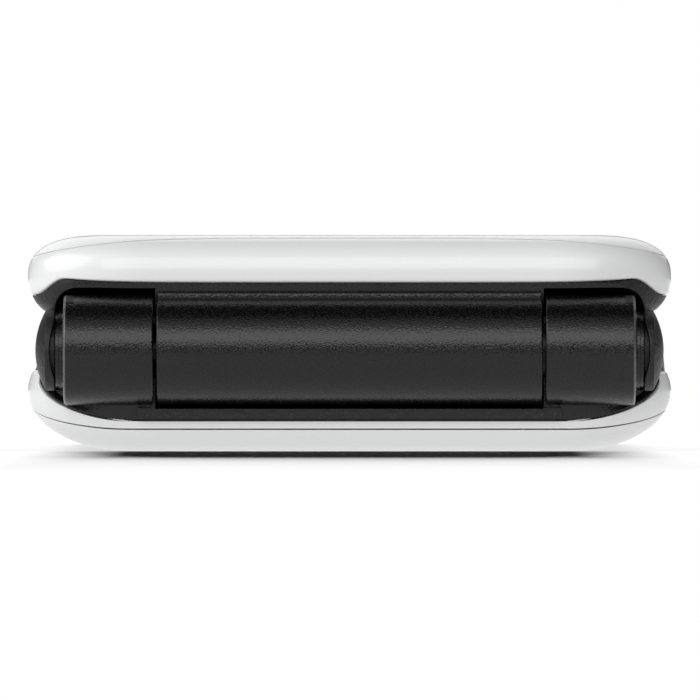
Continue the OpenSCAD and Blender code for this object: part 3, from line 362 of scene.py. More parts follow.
def wrap(name, section, closed):
    # lays a grid over a shell: a column for each station, a row for each point of its section
    sections = [section(s) for s in stations]
    columns, rows = len(sections), len(sections[0])
    select()
    bpy.ops.mesh.primitive_grid_add(x_subdivisions=columns, y_subdivisions=rows if closed else rows - 1,
                                    size=1)
    obj = bpy.context.object
    width = columns + 1
    for i, vertex in enumerate(obj.data.vertices):
        vertex.co = sections[(i % width) % columns][(i // width) % rows] * mm
    editAll(obj)
    bpy.ops.mesh.remove_doubles(threshold=1e-8)
    if not closed:
        bpy.ops.mesh.fill_holes(sides=0)
    leaveEdit()
    return outward(named(obj, name))


def outlineBlock(name, inset, low, high):
    # a block with the shells' own outline
    return wrap(name, lambda s: [place(s, inset, inset, z) for z in (low, high)], False)


stations = outlineStations()
print("outline:", len(stations), "stations")

# heights of the seams and curves of the sides
base = {
    "bellyZ": 5.4, "bellyReach": 8.8, "endShare": 0.57, "rimSide": 7.1, "rimEnd": 2.7,
    "sweepX": 28.1, "levelX": 20.0, "coverSide": 3.8, "coverEnd": 1.97, "frameStep": 0.8,
    "frameReach": 8.0, "frameRise": 7.57, "shellWall": 1.6, "frameWall": 1.4, "coverWall": 1.2,
    "seamGap": 0.11, "shoulder": 0.3,
}
lid = {
    "midZ": 15.6, "reach": 6.8, "endShare": 0.66, "drop": 4.3, "power": 2.5, "ringSide": 14.0,
    "ringCorner": 15.4, "ringEnd": 15.03, "ringFlat": 0.3, "ringBend": 3.0, "ringLift": 7,
    "seamSide": 17.35, "seamEnd": 19.07, "seamPower": 4, "seamSharp": 0.7, "wall": 1.3, "plate": 1.3,
    "frameOut": 0.12, "seamGap": 0.07,
}


def swept(s, side, end, reach):
    # level near the sides, and down in a curve towards the middle of the hinge end
    u = clamped((abs(across(s)) - base["levelX"]) / (reach - base["levelX"]))
    return side - (side - end) * math.sqrt(1 - u * u)


def rimZ(s):
    return swept(s, base["rimSide"], base["rimEnd"], base["sweepX"]) if atHinge(s) else base["rimSide"]


def coverZ(s):
    return swept(s, base["coverSide"], base["coverEnd"], phone["halfWidth"])


def ringZ(s):
    # high over the knuckles, and down in an S to the sides
    if not atHinge(s):
        return lid["ringSide"]
    x, bendEnd = abs(across(s)), phone["halfWidth"] - lid["ringFlat"]
    t = clamped((bendEnd - x) / lid["ringBend"])
    bend = t * t * (3 - 2 * t)
    share = min(1, x / (bendEnd - lid["ringBend"])) ** lid["ringLift"]
    high = lid["ringEnd"] + (lid["ringCorner"] - lid["ringEnd"]) * share
    return lid["ringSide"] + (high - lid["ringSide"]) * bend


def seamZ(s):
    t = min(1, abs(across(s)) / phone["halfWidth"]) ** lid["seamPower"]
    return lid["seamSide"] + (lid["seamEnd"] - lid["seamSide"]) * (1 - t) ** lid["seamSharp"]


def bellyIn(z):
    return base["bellyReach"] * (1 - math.sqrt(max(0, 1 - ((z - base["bellyZ"]) / base["bellyZ"]) ** 2)))


def frameIn(z):
    if z > phone["hingeZ"]:
        rise = (z - phone["hingeZ"]) / base["frameRise"]
        return base["frameStep"] + base["frameReach"] * (1 - math.sqrt(1 - rise ** 2))
    return max(base["frameStep"], bellyIn(z) + base["shoulder"] if z < base["bellyZ"] else 0)


def lidTurn(z):
    t = min(1, (z - lid["midZ"]) / (phone["top"] - lid["midZ"]))
    return math.asin(t ** (lid["power"] / 2))


def lidIn(z):
    power = lid["power"]
    if z > lid["midZ"]:
        return lid["reach"] * (1 - math.cos(lidTurn(z)) ** (2 / power))
    return lid["reach"] * (1 - (1 - ((lid["midZ"] - z) / lid["drop"]) ** power) ** (1 / power))


def lidHeight(a):
    return lid["midZ"] + (phone["top"] - lid["midZ"]) * max(0, math.sin(a)) ** (2 / lid["power"])


def shellPoint(s, z, deep=0.0):
    return sunk(s, bellyIn(z), base["endShare"], deep, z)


def framePoint(s, z, deep=0.0):
    return sunk(s, frameIn(z), base["endShare"], deep, z)


def coverPoint(s, a, deep=0.0):
    back = base["bellyReach"] * (1 - math.cos(a))
    z = base["bellyZ"] * (1 - math.sin(a)) + deep * math.sin(a)
    return sunk(s, back, base["endShare"], deep * math.cos(a), z)


def lidPoint(s, z, deep=0.0):
    a = lidTurn(z) if z > lid["midZ"] else 0
    return sunk(s, lidIn(z), lid["endShare"], deep * math.cos(a), z - deep * math.sin(a))


# shader tools
class Wire:
    # a socket that takes part in arithmetic
    def __init__(self, tree, socket):
        self.tree, self.socket = tree, socket

    def math(self, operation, *values):
        node = self.tree.nodes.new("ShaderNodeMath")
        node.operation = operation
        for slot, value in zip(node.inputs, values):
            if isinstance(value, Wire):
                self.tree.links.new(value.socket, slot)
            else:
                slot.default_value = value
        return Wire(self.tree, node.outputs[0])

    def __add__(self, other):
        return self.math("ADD", self, other)

    def __sub__(self, other):
        return self.math("SUBTRACT", self, other)

    def __rsub__(self, other):
        return self.math("SUBTRACT", other, self)

    def __mul__(self, other):
        return self.math("MULTIPLY", self, other)

    def __truediv__(self, other):
        return self.math("DIVIDE", self, other)

    def __pow__(self, other):
        return self.math("POWER", self, other)

    __radd__ = __add__
    __rmul__ = __mul__

    def size(self):
        return self.math("ABSOLUTE", self)

    def sine(self):
        return self.math("SINE", self)

    def most(self, other):
        return self.math("MAXIMUM", self, other)

    def clip(self):
        return self.math("MINIMUM", self.most(0.0), 1.0)

    def over(self, edge, width):
        # 0 below the edge, 1 above it, with a soft step as wide as width
        return ((self - edge) / width + 0.5).clip()


class Nodes:
    # a node tree, emptied first
    def __init__(self, tree):
        self.tree = tree
        tree.nodes.clear()

    def add(self, kind, values=None, **settings):
        node = self.tree.nodes.new(kind)
        for key, value in settings.items():
            setattr(node, key, value)
        for key, value in (values or {}).items():
            self.plug(node, key, value)
        return node

    def plug(self, node, key, value):
        if isinstance(value, Wire):
            self.tree.links.new(value.socket, node.inputs[key])
        else:
            node.inputs[key].default_value = value

    def out(self, node, key=0):
        return Wire(self.tree, node.outputs[key])

    def fromCamera(self):
        return self.out(self.add("ShaderNodeLightPath"), "Is Camera Ray")

    def mixShader(self, factor, first, second):
        return self.out(self.add("ShaderNodeMixShader", {0: factor, 1: first, 2: second}))


class Finish(Nodes):
    # a material whose patterns follow the object's own coordinates
    def __init__(self, name, values=None):
        self.material = bpy.data.materials.new(name)
        self.material.use_nodes = True
        super().__init__(self.material.node_tree)
        self.shader = self.add("ShaderNodeBsdfPrincipled", values)
        self.output = self.add("ShaderNodeOutputMaterial")
        self.surface(self.out(self.shader, "BSDF"))
        self.where = self.out(self.add("ShaderNodeTexCoord"), "Object")

    def noise(self, scale, detail=2.0, roughness=0.5, where=None):
        values = {"Vector": where or self.where, "Scale": scale, "Detail": detail, "Roughness": roughness}
        return self.out(self.add("ShaderNodeTexNoise", values))

    def cells(self, scale):
        values = {"Vector": self.where, "Scale": scale}
        return self.out(self.add("ShaderNodeTexVoronoi", values, feature="F1"), "Distance")

    def stretched(self, scales):
        values = {"Vector": self.where, "Scale": scales}
        return self.out(self.add("ShaderNodeMapping", values), "Vector")

    def axes(self):
        split = self.add("ShaderNodeSeparateXYZ", {"Vector": self.where})
        return [self.out(split, key) for key in "XYZ"]

    def mixColour(self, factor, first, second):
        node = self.add("ShaderNodeMix", {0: factor, 6: first, 7: second}, data_type="RGBA")
        return self.out(node, 2)

    def surface(self, value):
        self.plug(self.output, "Surface", value)

    def colour(self, value):
        self.plug(self.shader, "Base Color", value)
        return self

    def rough(self, value):
        self.plug(self.shader, "Roughness", value)
        return self

    def bump(self, height, depth, strength):
        values = {"Height": height, "Distance": depth * mm, "Strength": strength}
        self.plug(self.shader, "Normal", self.out(self.add("ShaderNodeBump", values), "Normal"))
        return self


def grey(value):
    return value, value, value, 1.0


def scaled(colour, share):
    return (*[min(1, c * share) for c in colour], 1)


def whiteGloss(name):
    # painted white plastic under a clear coat, with the faintest waviness
    f = Finish(name, {
        "Specular IOR Level": 0.35, "Coat Weight": 0.55, "Coat Roughness": 0.035, "IOR": 1.5})
    cloud = f.noise(45, 3)
    dust = f.noise(900, 2)
    f.colour(f.mixColour(cloud, (0.775, 0.78, 0.785, 1), (0.80, 0.803, 0.803, 1)))
    f.rough(0.30 + 0.06 * dust + 0.05 * cloud)
    return f.bump(f.noise(160, 1), 0.006, 0.5).material


# the rim keys place and colour a painted highlight along the knuckles' outer rims
satin = {
    "dark": 0.0025, "fine": 6400, "patch": 1900, "earX": 26.2, "earY": -44, "lipY": -49.8, "lipZ": 3.9,
    "archX": 24.6, "archZ": 13.2, "rimR": 4.58, "rimX": (25.24, 25.5), "rimTop": 13.95, "rimBack": -43.4,
    "rimTone": 0.09,
}


def blackSatin(name):
    # moulded black plastic: a fine spark-eroded grain, coarser and duller on ears, trough lip and arches
    f = Finish(name, {"Specular IOR Level": 0.44, "IOR": 1.5})
    x, y, z = f.axes()
    wide = x.size()
    onEar = wide.over(satin["earX"] * mm, 0.1 * mm) * (1 - y.over(satin["earY"] * mm, 6 * mm))
    onLip = (1 - y.over(satin["lipY"] * mm, 0.05 * mm)) * (1 - z.over(satin["lipZ"] * mm, 0.1 * mm))
    inArch = wide.over(satin["archX"] * mm, 0.3 * mm) * z.over(satin["archZ"] * mm, 0.2 * mm)
    coarse = (onEar + onLip + inArch).clip()
    fine = f.noise(satin["fine"], 0.5, 0.5)
    patch = f.noise(satin["patch"], 3, 0.6)
    cloud = f.noise(70, 2)
    grain = fine * (1 - coarse) + patch * coarse
    # the knuckles' outer rims get a painted highlight, a thin paler line in the colour
    rise, ahead = z - phone["hingeZ"] * mm, y - phone["hingeY"] * mm
    far = (rise * rise + ahead * ahead) ** 0.5
    rimStart, rimEnd = satin["rimX"]
    paintedRimHighlight = (far.over(satin["rimR"] * mm, 0.12 * mm) * wide.over(rimStart * mm, 0.06 * mm)
             * (1 - wide.over(rimEnd * mm, 0.02 * mm)) * (1 - z.over(satin["rimTop"] * mm, 0.02 * mm))
             * (1 - y.over(satin["rimBack"] * mm, 0.2 * mm)))
    tone = f.mixColour(grain.over(0.5, 0.3), grey(satin["dark"] * 0.4), grey(satin["dark"] * 2.2))
    # the paler rim colour is a painted highlight
    f.colour(f.mixColour(paintedRimHighlight, tone, grey(satin["rimTone"])))
    f.rough((0.185 + 0.04 * cloud + 0.09 * fine.over(0.5, 0.4)) + 0.25 * coarse)
    return f.bump(fine * (1 - coarse) + patch * 4 * coarse, 0.03, 0.9).material


def blackGloss(name, dark=0.006):
    # polished black plastic with a faint smear
    f = Finish(name, {"Specular IOR Level": 0.5, "IOR": 1.5, "Coat Roughness": 0.02})
    smear = f.noise(60, 4, 0.6)
    f.colour(f.mixColour(smear, grey(dark * 0.8), grey(dark * 1.2)))
    f.rough(0.05 + 0.07 * smear)
    return f.bump(f.noise(220, 1), 0.002, 0.4).material


def plain(name, colour, rough, grain=900, depth=0.006, metal=0.0):
    # any moulded, painted or metal part, with a fine grain and slight unevenness
    spread = 0.12
    f = Finish(name, {"Metallic": metal})
    cloud = f.noise(120, 3)
    fine = f.noise(grain, 3, 0.6)
    mixed = (cloud + fine) * 0.5
    f.colour(f.mixColour(mixed, scaled(colour, 1 - spread), scaled(colour, 1 + spread)))
    f.rough(rough + 0.12 * (mixed - 0.5))
    return f.bump(fine, depth, 0.5).material


def brushed(name, colour, rough):
    # metal with fine lines along X
    f = Finish(name, {"Metallic": 1.0})
    lines = f.noise(1, 2, 0.6, f.stretched((120, 3200, 3200)))
    cloud = f.noise(150, 2)
    f.colour(f.mixColour(lines * 0.6 + cloud * 0.4, scaled(colour, 0.85), scaled(colour, 1)))
    f.rough(rough + 0.15 * (lines - 0.5))
    return f.bump(lines, 0.004, 0.5).material


def woven(name):
    # a metal mesh of fine crossing wires
    f = Finish(name, {"Metallic": 0.6})
    x, y, _ = f.axes()
    weave = ((x * 9000).sine() * (y * 9000).sine() * 0.5 + 0.5).clip()
    f.colour(f.mixColour(weave, grey(0.01), grey(0.16)))
    f.rough(0.45 + 0.2 * f.noise(500))
    return f.bump(weave, 0.03, 0.7).material


def circuit(name):
    # solder mask with lighter tracks and gold pads
    f = Finish(name)
    onTrack = 1 - f.cells(420).over(0.30, 0.05)
    onPad = 1 - f.cells(1300).over(0.16, 0.04)
    green = f.mixColour(onTrack, (0.010, 0.060, 0.028, 1), (0.020, 0.11, 0.05, 1))
    f.colour(f.mixColour(onPad, green, (0.65, 0.46, 0.18, 1)))
    f.rough(0.35 + 0.1 * f.noise(300))
    return f.bump(onTrack * 0.5 + onPad, 0.02, 0.6).material


def screenGlass(name, at, size):
    # a hard-coated window: a black printed border round a faintly lighter screen
    border, lit = grey(0.004), (0.0162, 0.018, 0.0207, 1)
    f = Finish(name, {"Specular IOR Level": 0.5, "IOR": 1.52})
    x, y, _ = f.axes()
    insideX = 1 - (x - at[0] * mm).size().over(size[0] / 2 * mm, 0.12 * mm)
    insideY = 1 - (y - at[1] * mm).size().over(size[1] / 2 * mm, 0.12 * mm)
    smear = f.noise(70, 4, 0.6)
    f.colour(f.mixColour(insideX * insideY, border, lit))
    f.rough(0.04 + 0.06 * smear)
    return f.bump(f.noise(200, 1), 0.0015, 0.3).material


def lensGlass(name, at):
    # black glass with the rings of a lens barrel seen through it
    ringR, outerR, edgeR = (0.75, 1.05), (1.5, 1.62), 2.3
    f = Finish(name, {"Specular IOR Level": 0.5, "IOR": 1.6})
    x, y, _ = f.axes()
    dx, dy = x - at[0] * mm, y - at[1] * mm
    away = (dx * dx + dy * dy) ** 0.5
    ring, outer = [away.over(start * mm, 0.05 * mm) * (1 - away.over(end * mm, 0.05 * mm))
                   for start, end in (ringR, outerR)]
    f.colour(f.mixColour((ring + outer).clip(), (0.003, 0.003, 0.006, 1), (0.03, 0.028, 0.045, 1)))
    f.rough(0.03 + 0.05 * f.noise(80, 3) + 0.2 * away.over(edgeR * mm, 0.1 * mm))
    return f.bump(f.noise(240, 1), 0.001, 0.3).material


print("materials")
finishes = {
    "battery_wrap": plain("batteryWrap", (0.07, 0.08, 0.095), 0.45),
    "board": circuit("board"),
    "tin": brushed("tin", (0.70, 0.71, 0.73), 0.32),
    "steel": brushed("steel", (0.56, 0.57, 0.59), 0.28),
    "gold_plate": plain("goldPlate", (0.83, 0.60, 0.22), 0.25, metal=1.0),
    "socket_black": plain("socketBlack", (0.012, 0.012, 0.013), 0.42),
    "speaker_black": plain("speakerBlack", (0.02, 0.02, 0.022), 0.5),
    "mesh": woven("mesh"),
    "part_tan": plain("partTan", (0.46, 0.43, 0.34), 0.5),
    "dome_film": plain("domeFilm", (0.50, 0.50, 0.44), 0.3),
    "mat_rubber": plain("matRubber", (0.22, 0.23, 0.25), 0.6),
    "bumper_rubber": plain("bumperRubber", (0.015, 0.015, 0.016), 0.7, 1500, 0.01),
    "screen": plain("screenBack", (0.012, 0.013, 0.016), 0.2),
    "flash_cap": plain("flashCap", (0.82, 0.78, 0.55), 0.2, 1800, 0.01),
    "flex": plain("flex", (0.42, 0.17, 0.03), 0.35),
    "white_shell": whiteGloss("whiteGloss"),
    "black_frame": blackSatin("blackSatin"),
    "panel_black": blackGloss("panelBlack"),
    "key_black": plain("keyBlack", (0.018, 0.018, 0.019), 0.33, 2600),
    "key_silver": plain("keySilver", (0.36, 0.365, 0.375), 0.3, 2600, 0.004, metal=0.75),
    "key_green": plain("keyGreen", (0.01, 0.15, 0.03), 0.3, 2600, 0.005),
    "key_red": plain("keyRed", (0.32, 0.008, 0.008), 0.3, 2600, 0.005),
    "side_key": plain("sideGrey", (0.25, 0.255, 0.26), 0.36, 2400),
    "window_black": blackGloss("windowBlack"),
    "lens": blackGloss("lensGlass", 0.003),
}
slotOf = {part["node"]: part["material_slot"] for part in frame["record"]["subparts"]}
for node, obj in frame["nodes"].items():
    obj.data.materials.clear()
    obj.data.materials.append(finishes[slotOf[node]])
# the parts inside the barrel are given the socket's black, a painted shade that keeps the gaps beside the
# barrel dark
for node in ("hinge_shaft", "hinge_bush", "hinge_case"):
    frame["nodes"][node].data.materials[0] = finishes["socket_black"]

print("lid ring")


def ringSection(s):
    low, high = ringZ(s), seamZ(s) - lid["seamGap"]
    steps = [0, 0.14, 0.26, 0.37, 0.47, 0.56, 0.64, 0.71, 0.78, 0.84, 0.9, 0.95, 1]
    outer = [lidPoint(s, low + (high - low) * t) for t in steps]
    inner = [lidPoint(s, low + (high - low) * t, lid["wall"]) for t in (1, 0.75, 0.5, 0.25, 0)]
    return softened(outer + inner, {0: 0.3, 12: 0.09, 13: 0.06, -1: 0.06})


lidRing = smooth(wrap("lidRing", ringSection, True))
finishPiece(lidRing, "lid", "white_shell", "lid_ring")

print("lid panel")
panel = {
    "window": (36, 26), "windowY": 2.0, "windowDeep": 0.8, "windowGap": 0.2, "ledge": 2, "through": 3,
    "corner": 3, "lens": (-9, -33, 3.5), "flash": (-17, -33, 1.7),
}
lidScrews = ((22.4, -38), (-22.4, -38), (21.5, 43), (-21.5, 43))
boss = {
    "radius": 2.0, "holeR": 0.75, "lid": (13.7, 18.65), "lidHole": 17.7, "base": (6.85, 11.0),
    "baseHole": 10.0,
}


def panelSection(s):
    seam, full = lidTurn(seamZ(s)), math.pi / 2
    inner = [lidPoint(s, lidHeight(full + (seam - full) * t), lid["wall"]) for t in (0, 0.35, 0.7, 1)]
    outer = [lidPoint(s, lidHeight(seam + (full - seam) * t)) for t in
             (0, 0.06, 0.15, 0.26, 0.38, 0.5, 0.62, 0.74, 0.86, 0.95, 1)]
    return softened(inner + outer, {3: 0.06, 4: 0.09})


lidPanel = wrap("lidPanel", panelSection, False)
fuse(lidPanel, *posts("boss", boss["radius"], lidScrews, *boss["lid"], 64))
carve(lidPanel, *posts("cut", boss["holeR"], lidScrews, phone["baseTop"], boss["lidHole"], 32))
wide, long = panel["window"]
at, gap, ledge, corner = (0, panel["windowY"]), panel["windowGap"], panel["ledge"], panel["corner"]
top, inside = phone["top"], phone["top"] - panel["through"]
carve(lidPanel,
      plate("cut", wide + gap, long + gap, corner, top - panel["windowDeep"], top + past, at),
      plate("cut", wide - ledge, long - ledge, corner - ledge / 2, inside, top + past, at),
      *[post("cut", radius, (x, y), inside, top + past)
        for x, y, radius in (panel["lens"], panel["flash"])])
finishPiece(smooth(lidPanel), "lid", "white_shell", "lid_panel")

print("back shell")
bay = {
    "roof": (6.15, 6.75), "roofIn": 1.2, "roofY": (-42.5, 26.31), "room": (18.3, -27.3, 25.3), "wall": 1.0,
    "low": 1.45, "high": 6.45, "contacts": 4.3, "contactsFar": 3, "sim": (7, 4, 15.4, 13.4),
}
baseScrews = ((24.7, -37.5), (-24.7, -37.5), (18.5, 45.6), (-18.5, 45.6))
screw = {
    "hole": 1.0, "head": 1.75, "seatFar": 5.55, "seatNear": 6.12, "boss": (2.0, 6.74),
    "armY": (-3.2, -0.2), "armZ": (6.16, 6.73), "armX": 27.0,
}
ports = {
    "usb": (-6, 4.9), "usbSize": (9.2, 3.4), "usbY": (48, 56), "jack": (9.5, 4.6), "jackR": 2.2,
    "jackY": (49, 56), "rocker": ((24.7, -24.2, 5.5), (30, -7.8, 9.25)),
}


def shellSection(s):
    low, high = coverZ(s) + base["seamGap"] / 2, rimZ(s)
    rise = high - low
    outer = [shellPoint(s, low + rise * t) for t in (0, 0.08, 0.2, 0.34, 0.48, 0.62, 0.76, 0.9, 1)]
    inner = [shellPoint(s, low + rise * t, base["shellWall"]) for t in (1, 0.66, 0.33, 0)]
    return softened(outer + inner, {0: 0.08, 8: 0.22, 9: 0.1, -1: 0.08})


def bayRoof():
    low, high = bay["roof"]
    near, far = bay["roofY"]
    edge = phone["halfWidth"] + past
    roof = outlineBlock("roof", bay["roofIn"], low, high)
    return keepInside(roof, brick("keep", (-edge, near, low - past), (edge, far, high + past)))


def bayWalls():
    # four walls round the battery, open at the far end for its contacts
    x, near, far = bay["room"]
    wall, low, high = bay["wall"], bay["low"] - past, bay["high"] + past
    walls = brick("walls", (-x - wall, near - wall, bay["low"]), (x + wall, far + wall, bay["high"]))
    return carve(walls, brick("cut", (-x, near, low), (x, far, high)),
                 brick("cut", (-bay["contacts"], far - past, low),
                       (bay["contacts"], far + bay["contactsFar"], high)))


def screwArm(at):
    # carries a far screw's boss out to the side wall
    low = (abs(at[0]), at[1] + screw["armY"][0], screw["armZ"][0])
    high = (screw["armX"], at[1] + screw["armY"][1], screw["armZ"][1])
    return sideBrick("arm", math.copysign(1, at[0]), low, high)


def simHole():
    x, y, wide, long = bay["sim"]
    low, high = bay["roof"]
    return brick("cut", (x - wide / 2, y - long / 2, low - past), (x + wide / 2, y + long / 2, high + past))


def usbHole():
    low, high = ports["usbY"]
    hole = slotCutter(*ports["usbSize"], low, high)
    hole.rotation_euler = (-math.pi / 2, 0, 0)
    hole.location = (ports["usb"][0] * mm, 0, ports["usb"][1] * mm)
    return freeze(hole, "cut")


def jackHole():
    x, z = ports["jack"]
    near, far = ports["jackY"]
    return rod("cut", ports["jackR"], (x, near, z), (x, far, z))


baseShell = fuse(wrap("baseShell", shellSection, True), bayRoof(), bayWalls())
for at in baseScrews[2:]:
    fuse(baseShell, screwArm(at), post("boss", boss["radius"], at, *screw["boss"], 64))
for at in baseScrews:
    seat = screw["seatFar"] if at[1] > 0 else screw["seatNear"]
    carve(baseShell, post("cut", screw["hole"], at, -past, phone["baseTop"] + past, 48),
          post("cut", screw["head"], at, -past, seat, 64))
carve(baseShell, simHole(), usbHole(), jackHole(), brick("cut", *ports["rocker"]))
finishPiece(smooth(baseShell), "base", "white_shell", "base_shell")

print("battery cover")
speaker = {"x": 8, "y": -33.6, "pitch": 1.8, "slots": 5, "size": (9, 0.8)}


def coverSection(s):
    seam = coverZ(s) - base["seamGap"] / 2
    turn, full = math.asin(1 - seam / base["bellyZ"]), math.pi / 2
    outer = [coverPoint(s, full + (turn - full) * t) for t in
             (0, 0.08, 0.18, 0.3, 0.42, 0.54, 0.66, 0.78, 0.88, 0.95, 1)]
    inner = []
    for t in (0, 0.3, 0.65, 1):
        point = coverPoint(s, turn + (full - turn) * t, base["coverWall"])
        inner.append(Vector((point.x, point.y, min(point.z, seam))))
    return softened(outer + inner, {10: 0.08, 11: 0.06})


batteryCover = wrap("batteryCover", coverSection, False)
for i in range(speaker["slots"]):
    y = speaker["y"] + (i - (speaker["slots"] - 1) / 2) * speaker["pitch"]
    carve(batteryCover,
          slotCutter(*speaker["size"], -past, base["coverWall"] + past, (speaker["x"], y), 5))
finishPiece(smooth(batteryCover), "base", "white_shell", "battery_cover")

# the keypad half's black frame with its hinge knuckles
print("base frame")
hinge = {
    "barrelR": 4.85, "barrelX": 17.15, "knuckleR": 4.9, "knuckleX": (17.45, 25.45), "neckR": 3.45,
    "neckFlare": 0.1, "neckGroove": (0.38, 0.42, 0.12), "earX": 26.15, "earR": 3.6, "hubR": 2.82,
    "hubOut": 0.51, "hubIn": 0.3, "hubGap": 0.05, "scoop": 0.57, "ahead": 6, "domeSteps": 12,
    "rootIn": (0.03, 0.4), "rootUnder": 0.4, "rootBack": 0.2, "earRoots": (2.2, 9), "pocketR": 5.3,
    "pocketX": 17.3, "troughR": 6.3, "troughX": 18.45, "archR": 5.6, "bore": 2.5, "boreX": 24.45,
    "rimRound": 0.3, "edgeRound": 0.16,
}
frameTop = {
    "plate": 2.0, "edge": 0.6, "lip": 0.17, "lipIn": 0.12, "panel": (48.2, 78.2, 4), "ledge": 1.6,
    "ledgeGap": 0.2, "panelY": 1.0, "panelSink": 1.3, "under": 5, "micY": 45, "micR": 0.5,
    "troughFront": 0.25, "troughFloor": 0.06, "stripX": 18.85, "stripY": (0.06, 0.5), "stripZ": (2.92, 3.9),
}


def frameSection(s):
    lip, high = rimZ(s) + base["seamGap"], phone["baseTop"]
    under, wall = high - frameTop["plate"], base["frameWall"]
    inner = [framePoint(s, z, wall) for z in (under, (lip + under) / 2, lip)]
    step = [shellPoint(s, z, frameTop["lipIn"]) for z in (lip, lip + frameTop["lip"])]
    low, edge = lip + 3 * frameTop["lip"], frameTop["edge"]
    side = [framePoint(s, low + (high - 2 * edge - low) * t) for t in (0, 0.12, 0.3, 0.5, 0.7, 0.85, 1)]
    rounding = [framePoint(s, high - edge * (1 - math.sin(a)), edge * (1 - math.cos(a)))
                for a in (math.radians(18 * i) for i in range(6))]
    return softened(inner + step + side + rounding, {3: 0.05, 4: 0.08})


def earOut(r):
    return phone["halfWidth"] - frameIn(phone["hingeZ"] + r)


def domed(name, side, back, out, reach, y0, y1):
    # a slab that faces out from an ear's inner face, with a domed edge
    swell = (reach ** 2 + out ** 2) / (2 * out)
    turn = math.asin(reach / swell)
    x, z = hinge["earX"], phone["hingeZ"]
    points = [(side * (x - back), y0, z - reach), (side * (x - back), y0, z + reach)]
    steps = hinge["domeSteps"]
    for i in range(2 * steps + 1):
        a = turn * (1 - i / steps)
        points.append((side * (x + out - swell + swell * math.cos(a)), y0, z + swell * math.sin(a)))
    return prism(name, points, (0, y1 - y0, 0))


def knuckleProfile():
    x0, x1 = hinge["knuckleX"]
    r, rim, edge = hinge["knuckleR"], hinge["rimRound"], hinge["edgeRound"]
    neck, flare, ear, earX = hinge["neckR"], hinge["neckFlare"], hinge["earR"], hinge["earX"]
    start, end, groove = hinge["neckGroove"]
    profile = [(x0, 0)] + arc((x0 + edge, r - edge), edge, 180, 90, 4)
    profile += arc((x1 - rim, r - rim), rim, 90, 0, 8)
    profile += [(x1, neck + flare), (x1 + flare, neck), (x1 + start, neck), (x1 + end, neck - groove),
                (earX, neck - groove), (earX, ear - edge), (earX + edge, ear), (earOut(ear) - edge, ear)]
    steps = hinge["domeSteps"]
    faceRadii = [ear - 0.06] + [ear * (1 - i / steps) for i in range(1, steps + 1)]
    return profile + [(earOut(q) - 0.01, q) for q in faceRadii]


def knuckle(side):
    # knuckle, neck and ear in one turned piece, the ear's inner face scooped out in front of a domed hub
    obj = turned("knuckle", [(side * a, b) for a, b in knuckleProfile()], hingeAt)
    y, ahead, earX, hubR = phone["hingeY"], hinge["ahead"], hinge["earX"], hinge["hubR"]
    carve(obj, domed("scoop", side, 0.02, hinge["scoop"], hubR + hinge["hubGap"], y, y - ahead))
    # the hub fills the scoop but for a narrow gap
    hub = hingeRod("hub", hubR - 0.02, side * (earX - hinge["hubIn"] - 0.05), side * (earX + past))
    keepInside(hub, domed("lens", side, hinge["hubIn"], hinge["hubOut"], hubR, y - ahead, y + ahead))
    return fuse(obj, hub)


def earRoot(side, length, low, inset=0.0):
    # joins an ear to the frame's side wall, a hair inside the surfaces of both
    high = phone["baseTop"] - phone["hingeZ"] - 0.1 - inset
    count = 14
    x = hinge["earX"] + 0.01 + inset
    points = [(x, high), (x, low)]
    for i in range(count + 1):
        h = low + (high - low) * i / count
        points.append((earOut(abs(h)) - 0.02 - inset, h))
    y, z = phone["hingeY"] - inset, phone["hingeZ"]
    return prism("root", [(side * a, y, z + b) for a, b in points], (0, length, 0))


def knuckleRoot(side):
    # joins a knuckle to the trough behind it
    x0, x1 = hinge["knuckleX"]
    start, end = hinge["rootIn"]
    y, back = phone["hingeY"], hinge["troughR"] - hinge["rootBack"]
    low = phone["hingeZ"] - hinge["knuckleR"] + hinge["rootUnder"]
    high = phone["baseTop"] - frameTop["edge"]
    return sideBrick("root", side, (x0 + start, y, low), (x1 - end, y + back, high))


def troughWall():
    # what the trough leaves of the frame, and the thin strip in front of it
    x, front = hinge["troughX"] + 0.02, phone["endY"]
    trough = hingeRod("trough", hinge["troughR"], -x, x)
    corner = (-x - past, front + frameTop["troughFront"], base["rimEnd"] + frameTop["troughFloor"])
    keepInside(trough, brick("room", corner, (x + past, 0, phone["baseTop"])))
    x, (near, far), (low, high) = frameTop["stripX"], frameTop["stripY"], frameTop["stripZ"]
    return trough, brick("strip", (-x, front + near, low), (x, front + far, high))


baseFrame = wrap("baseFrame", frameSection, False)
carve(baseFrame, hingeRod("cut", hinge["troughR"], -hinge["troughX"], hinge["troughX"]))
rimUnderHinge = base["rimSide"] + base["seamGap"] - phone["hingeZ"]
short, deep = hinge["earRoots"]
fuse(baseFrame, *troughWall(), *bothSides(knuckleRoot), *bothSides(knuckle),
     *bothSides(lambda side: earRoot(side, short, 0.05 - hinge["earR"])),
     *bothSides(lambda side: earRoot(side, deep, rimUnderHinge, 0.01)),
     *posts("boss", boss["radius"], baseScrews, *boss["base"], 64))
wide, long, corner = frameTop["panel"]
high, under, ledge = phone["baseTop"] + past, frameTop["under"], frameTop["ledge"]
at, shrink = (0, frameTop["panelY"]), frameTop["ledgeGap"] + 2 * frameTop["ledge"]
carve(baseFrame, hingeRod("cut", hinge["pocketR"], -hinge["pocketX"], hinge["pocketX"]),
      hingeRod("cut", hinge["bore"], -hinge["boreX"], hinge["boreX"], 64),
      plate("cut", wide, long, corner, phone["baseTop"] - frameTop["panelSink"], high, at),
      plate("cut", wide - shrink, long - shrink, corner - ledge / 2, under, high, at),
      post("cut", frameTop["micR"], (0, frameTop["micY"]), under, high, 32),
      brick("cut", *ports["rocker"]),
      *posts("cut", boss["holeR"], baseScrews, under, boss["baseHole"], 32))
finishPiece(smooth(baseFrame), "base", "black_frame", "base_frame")

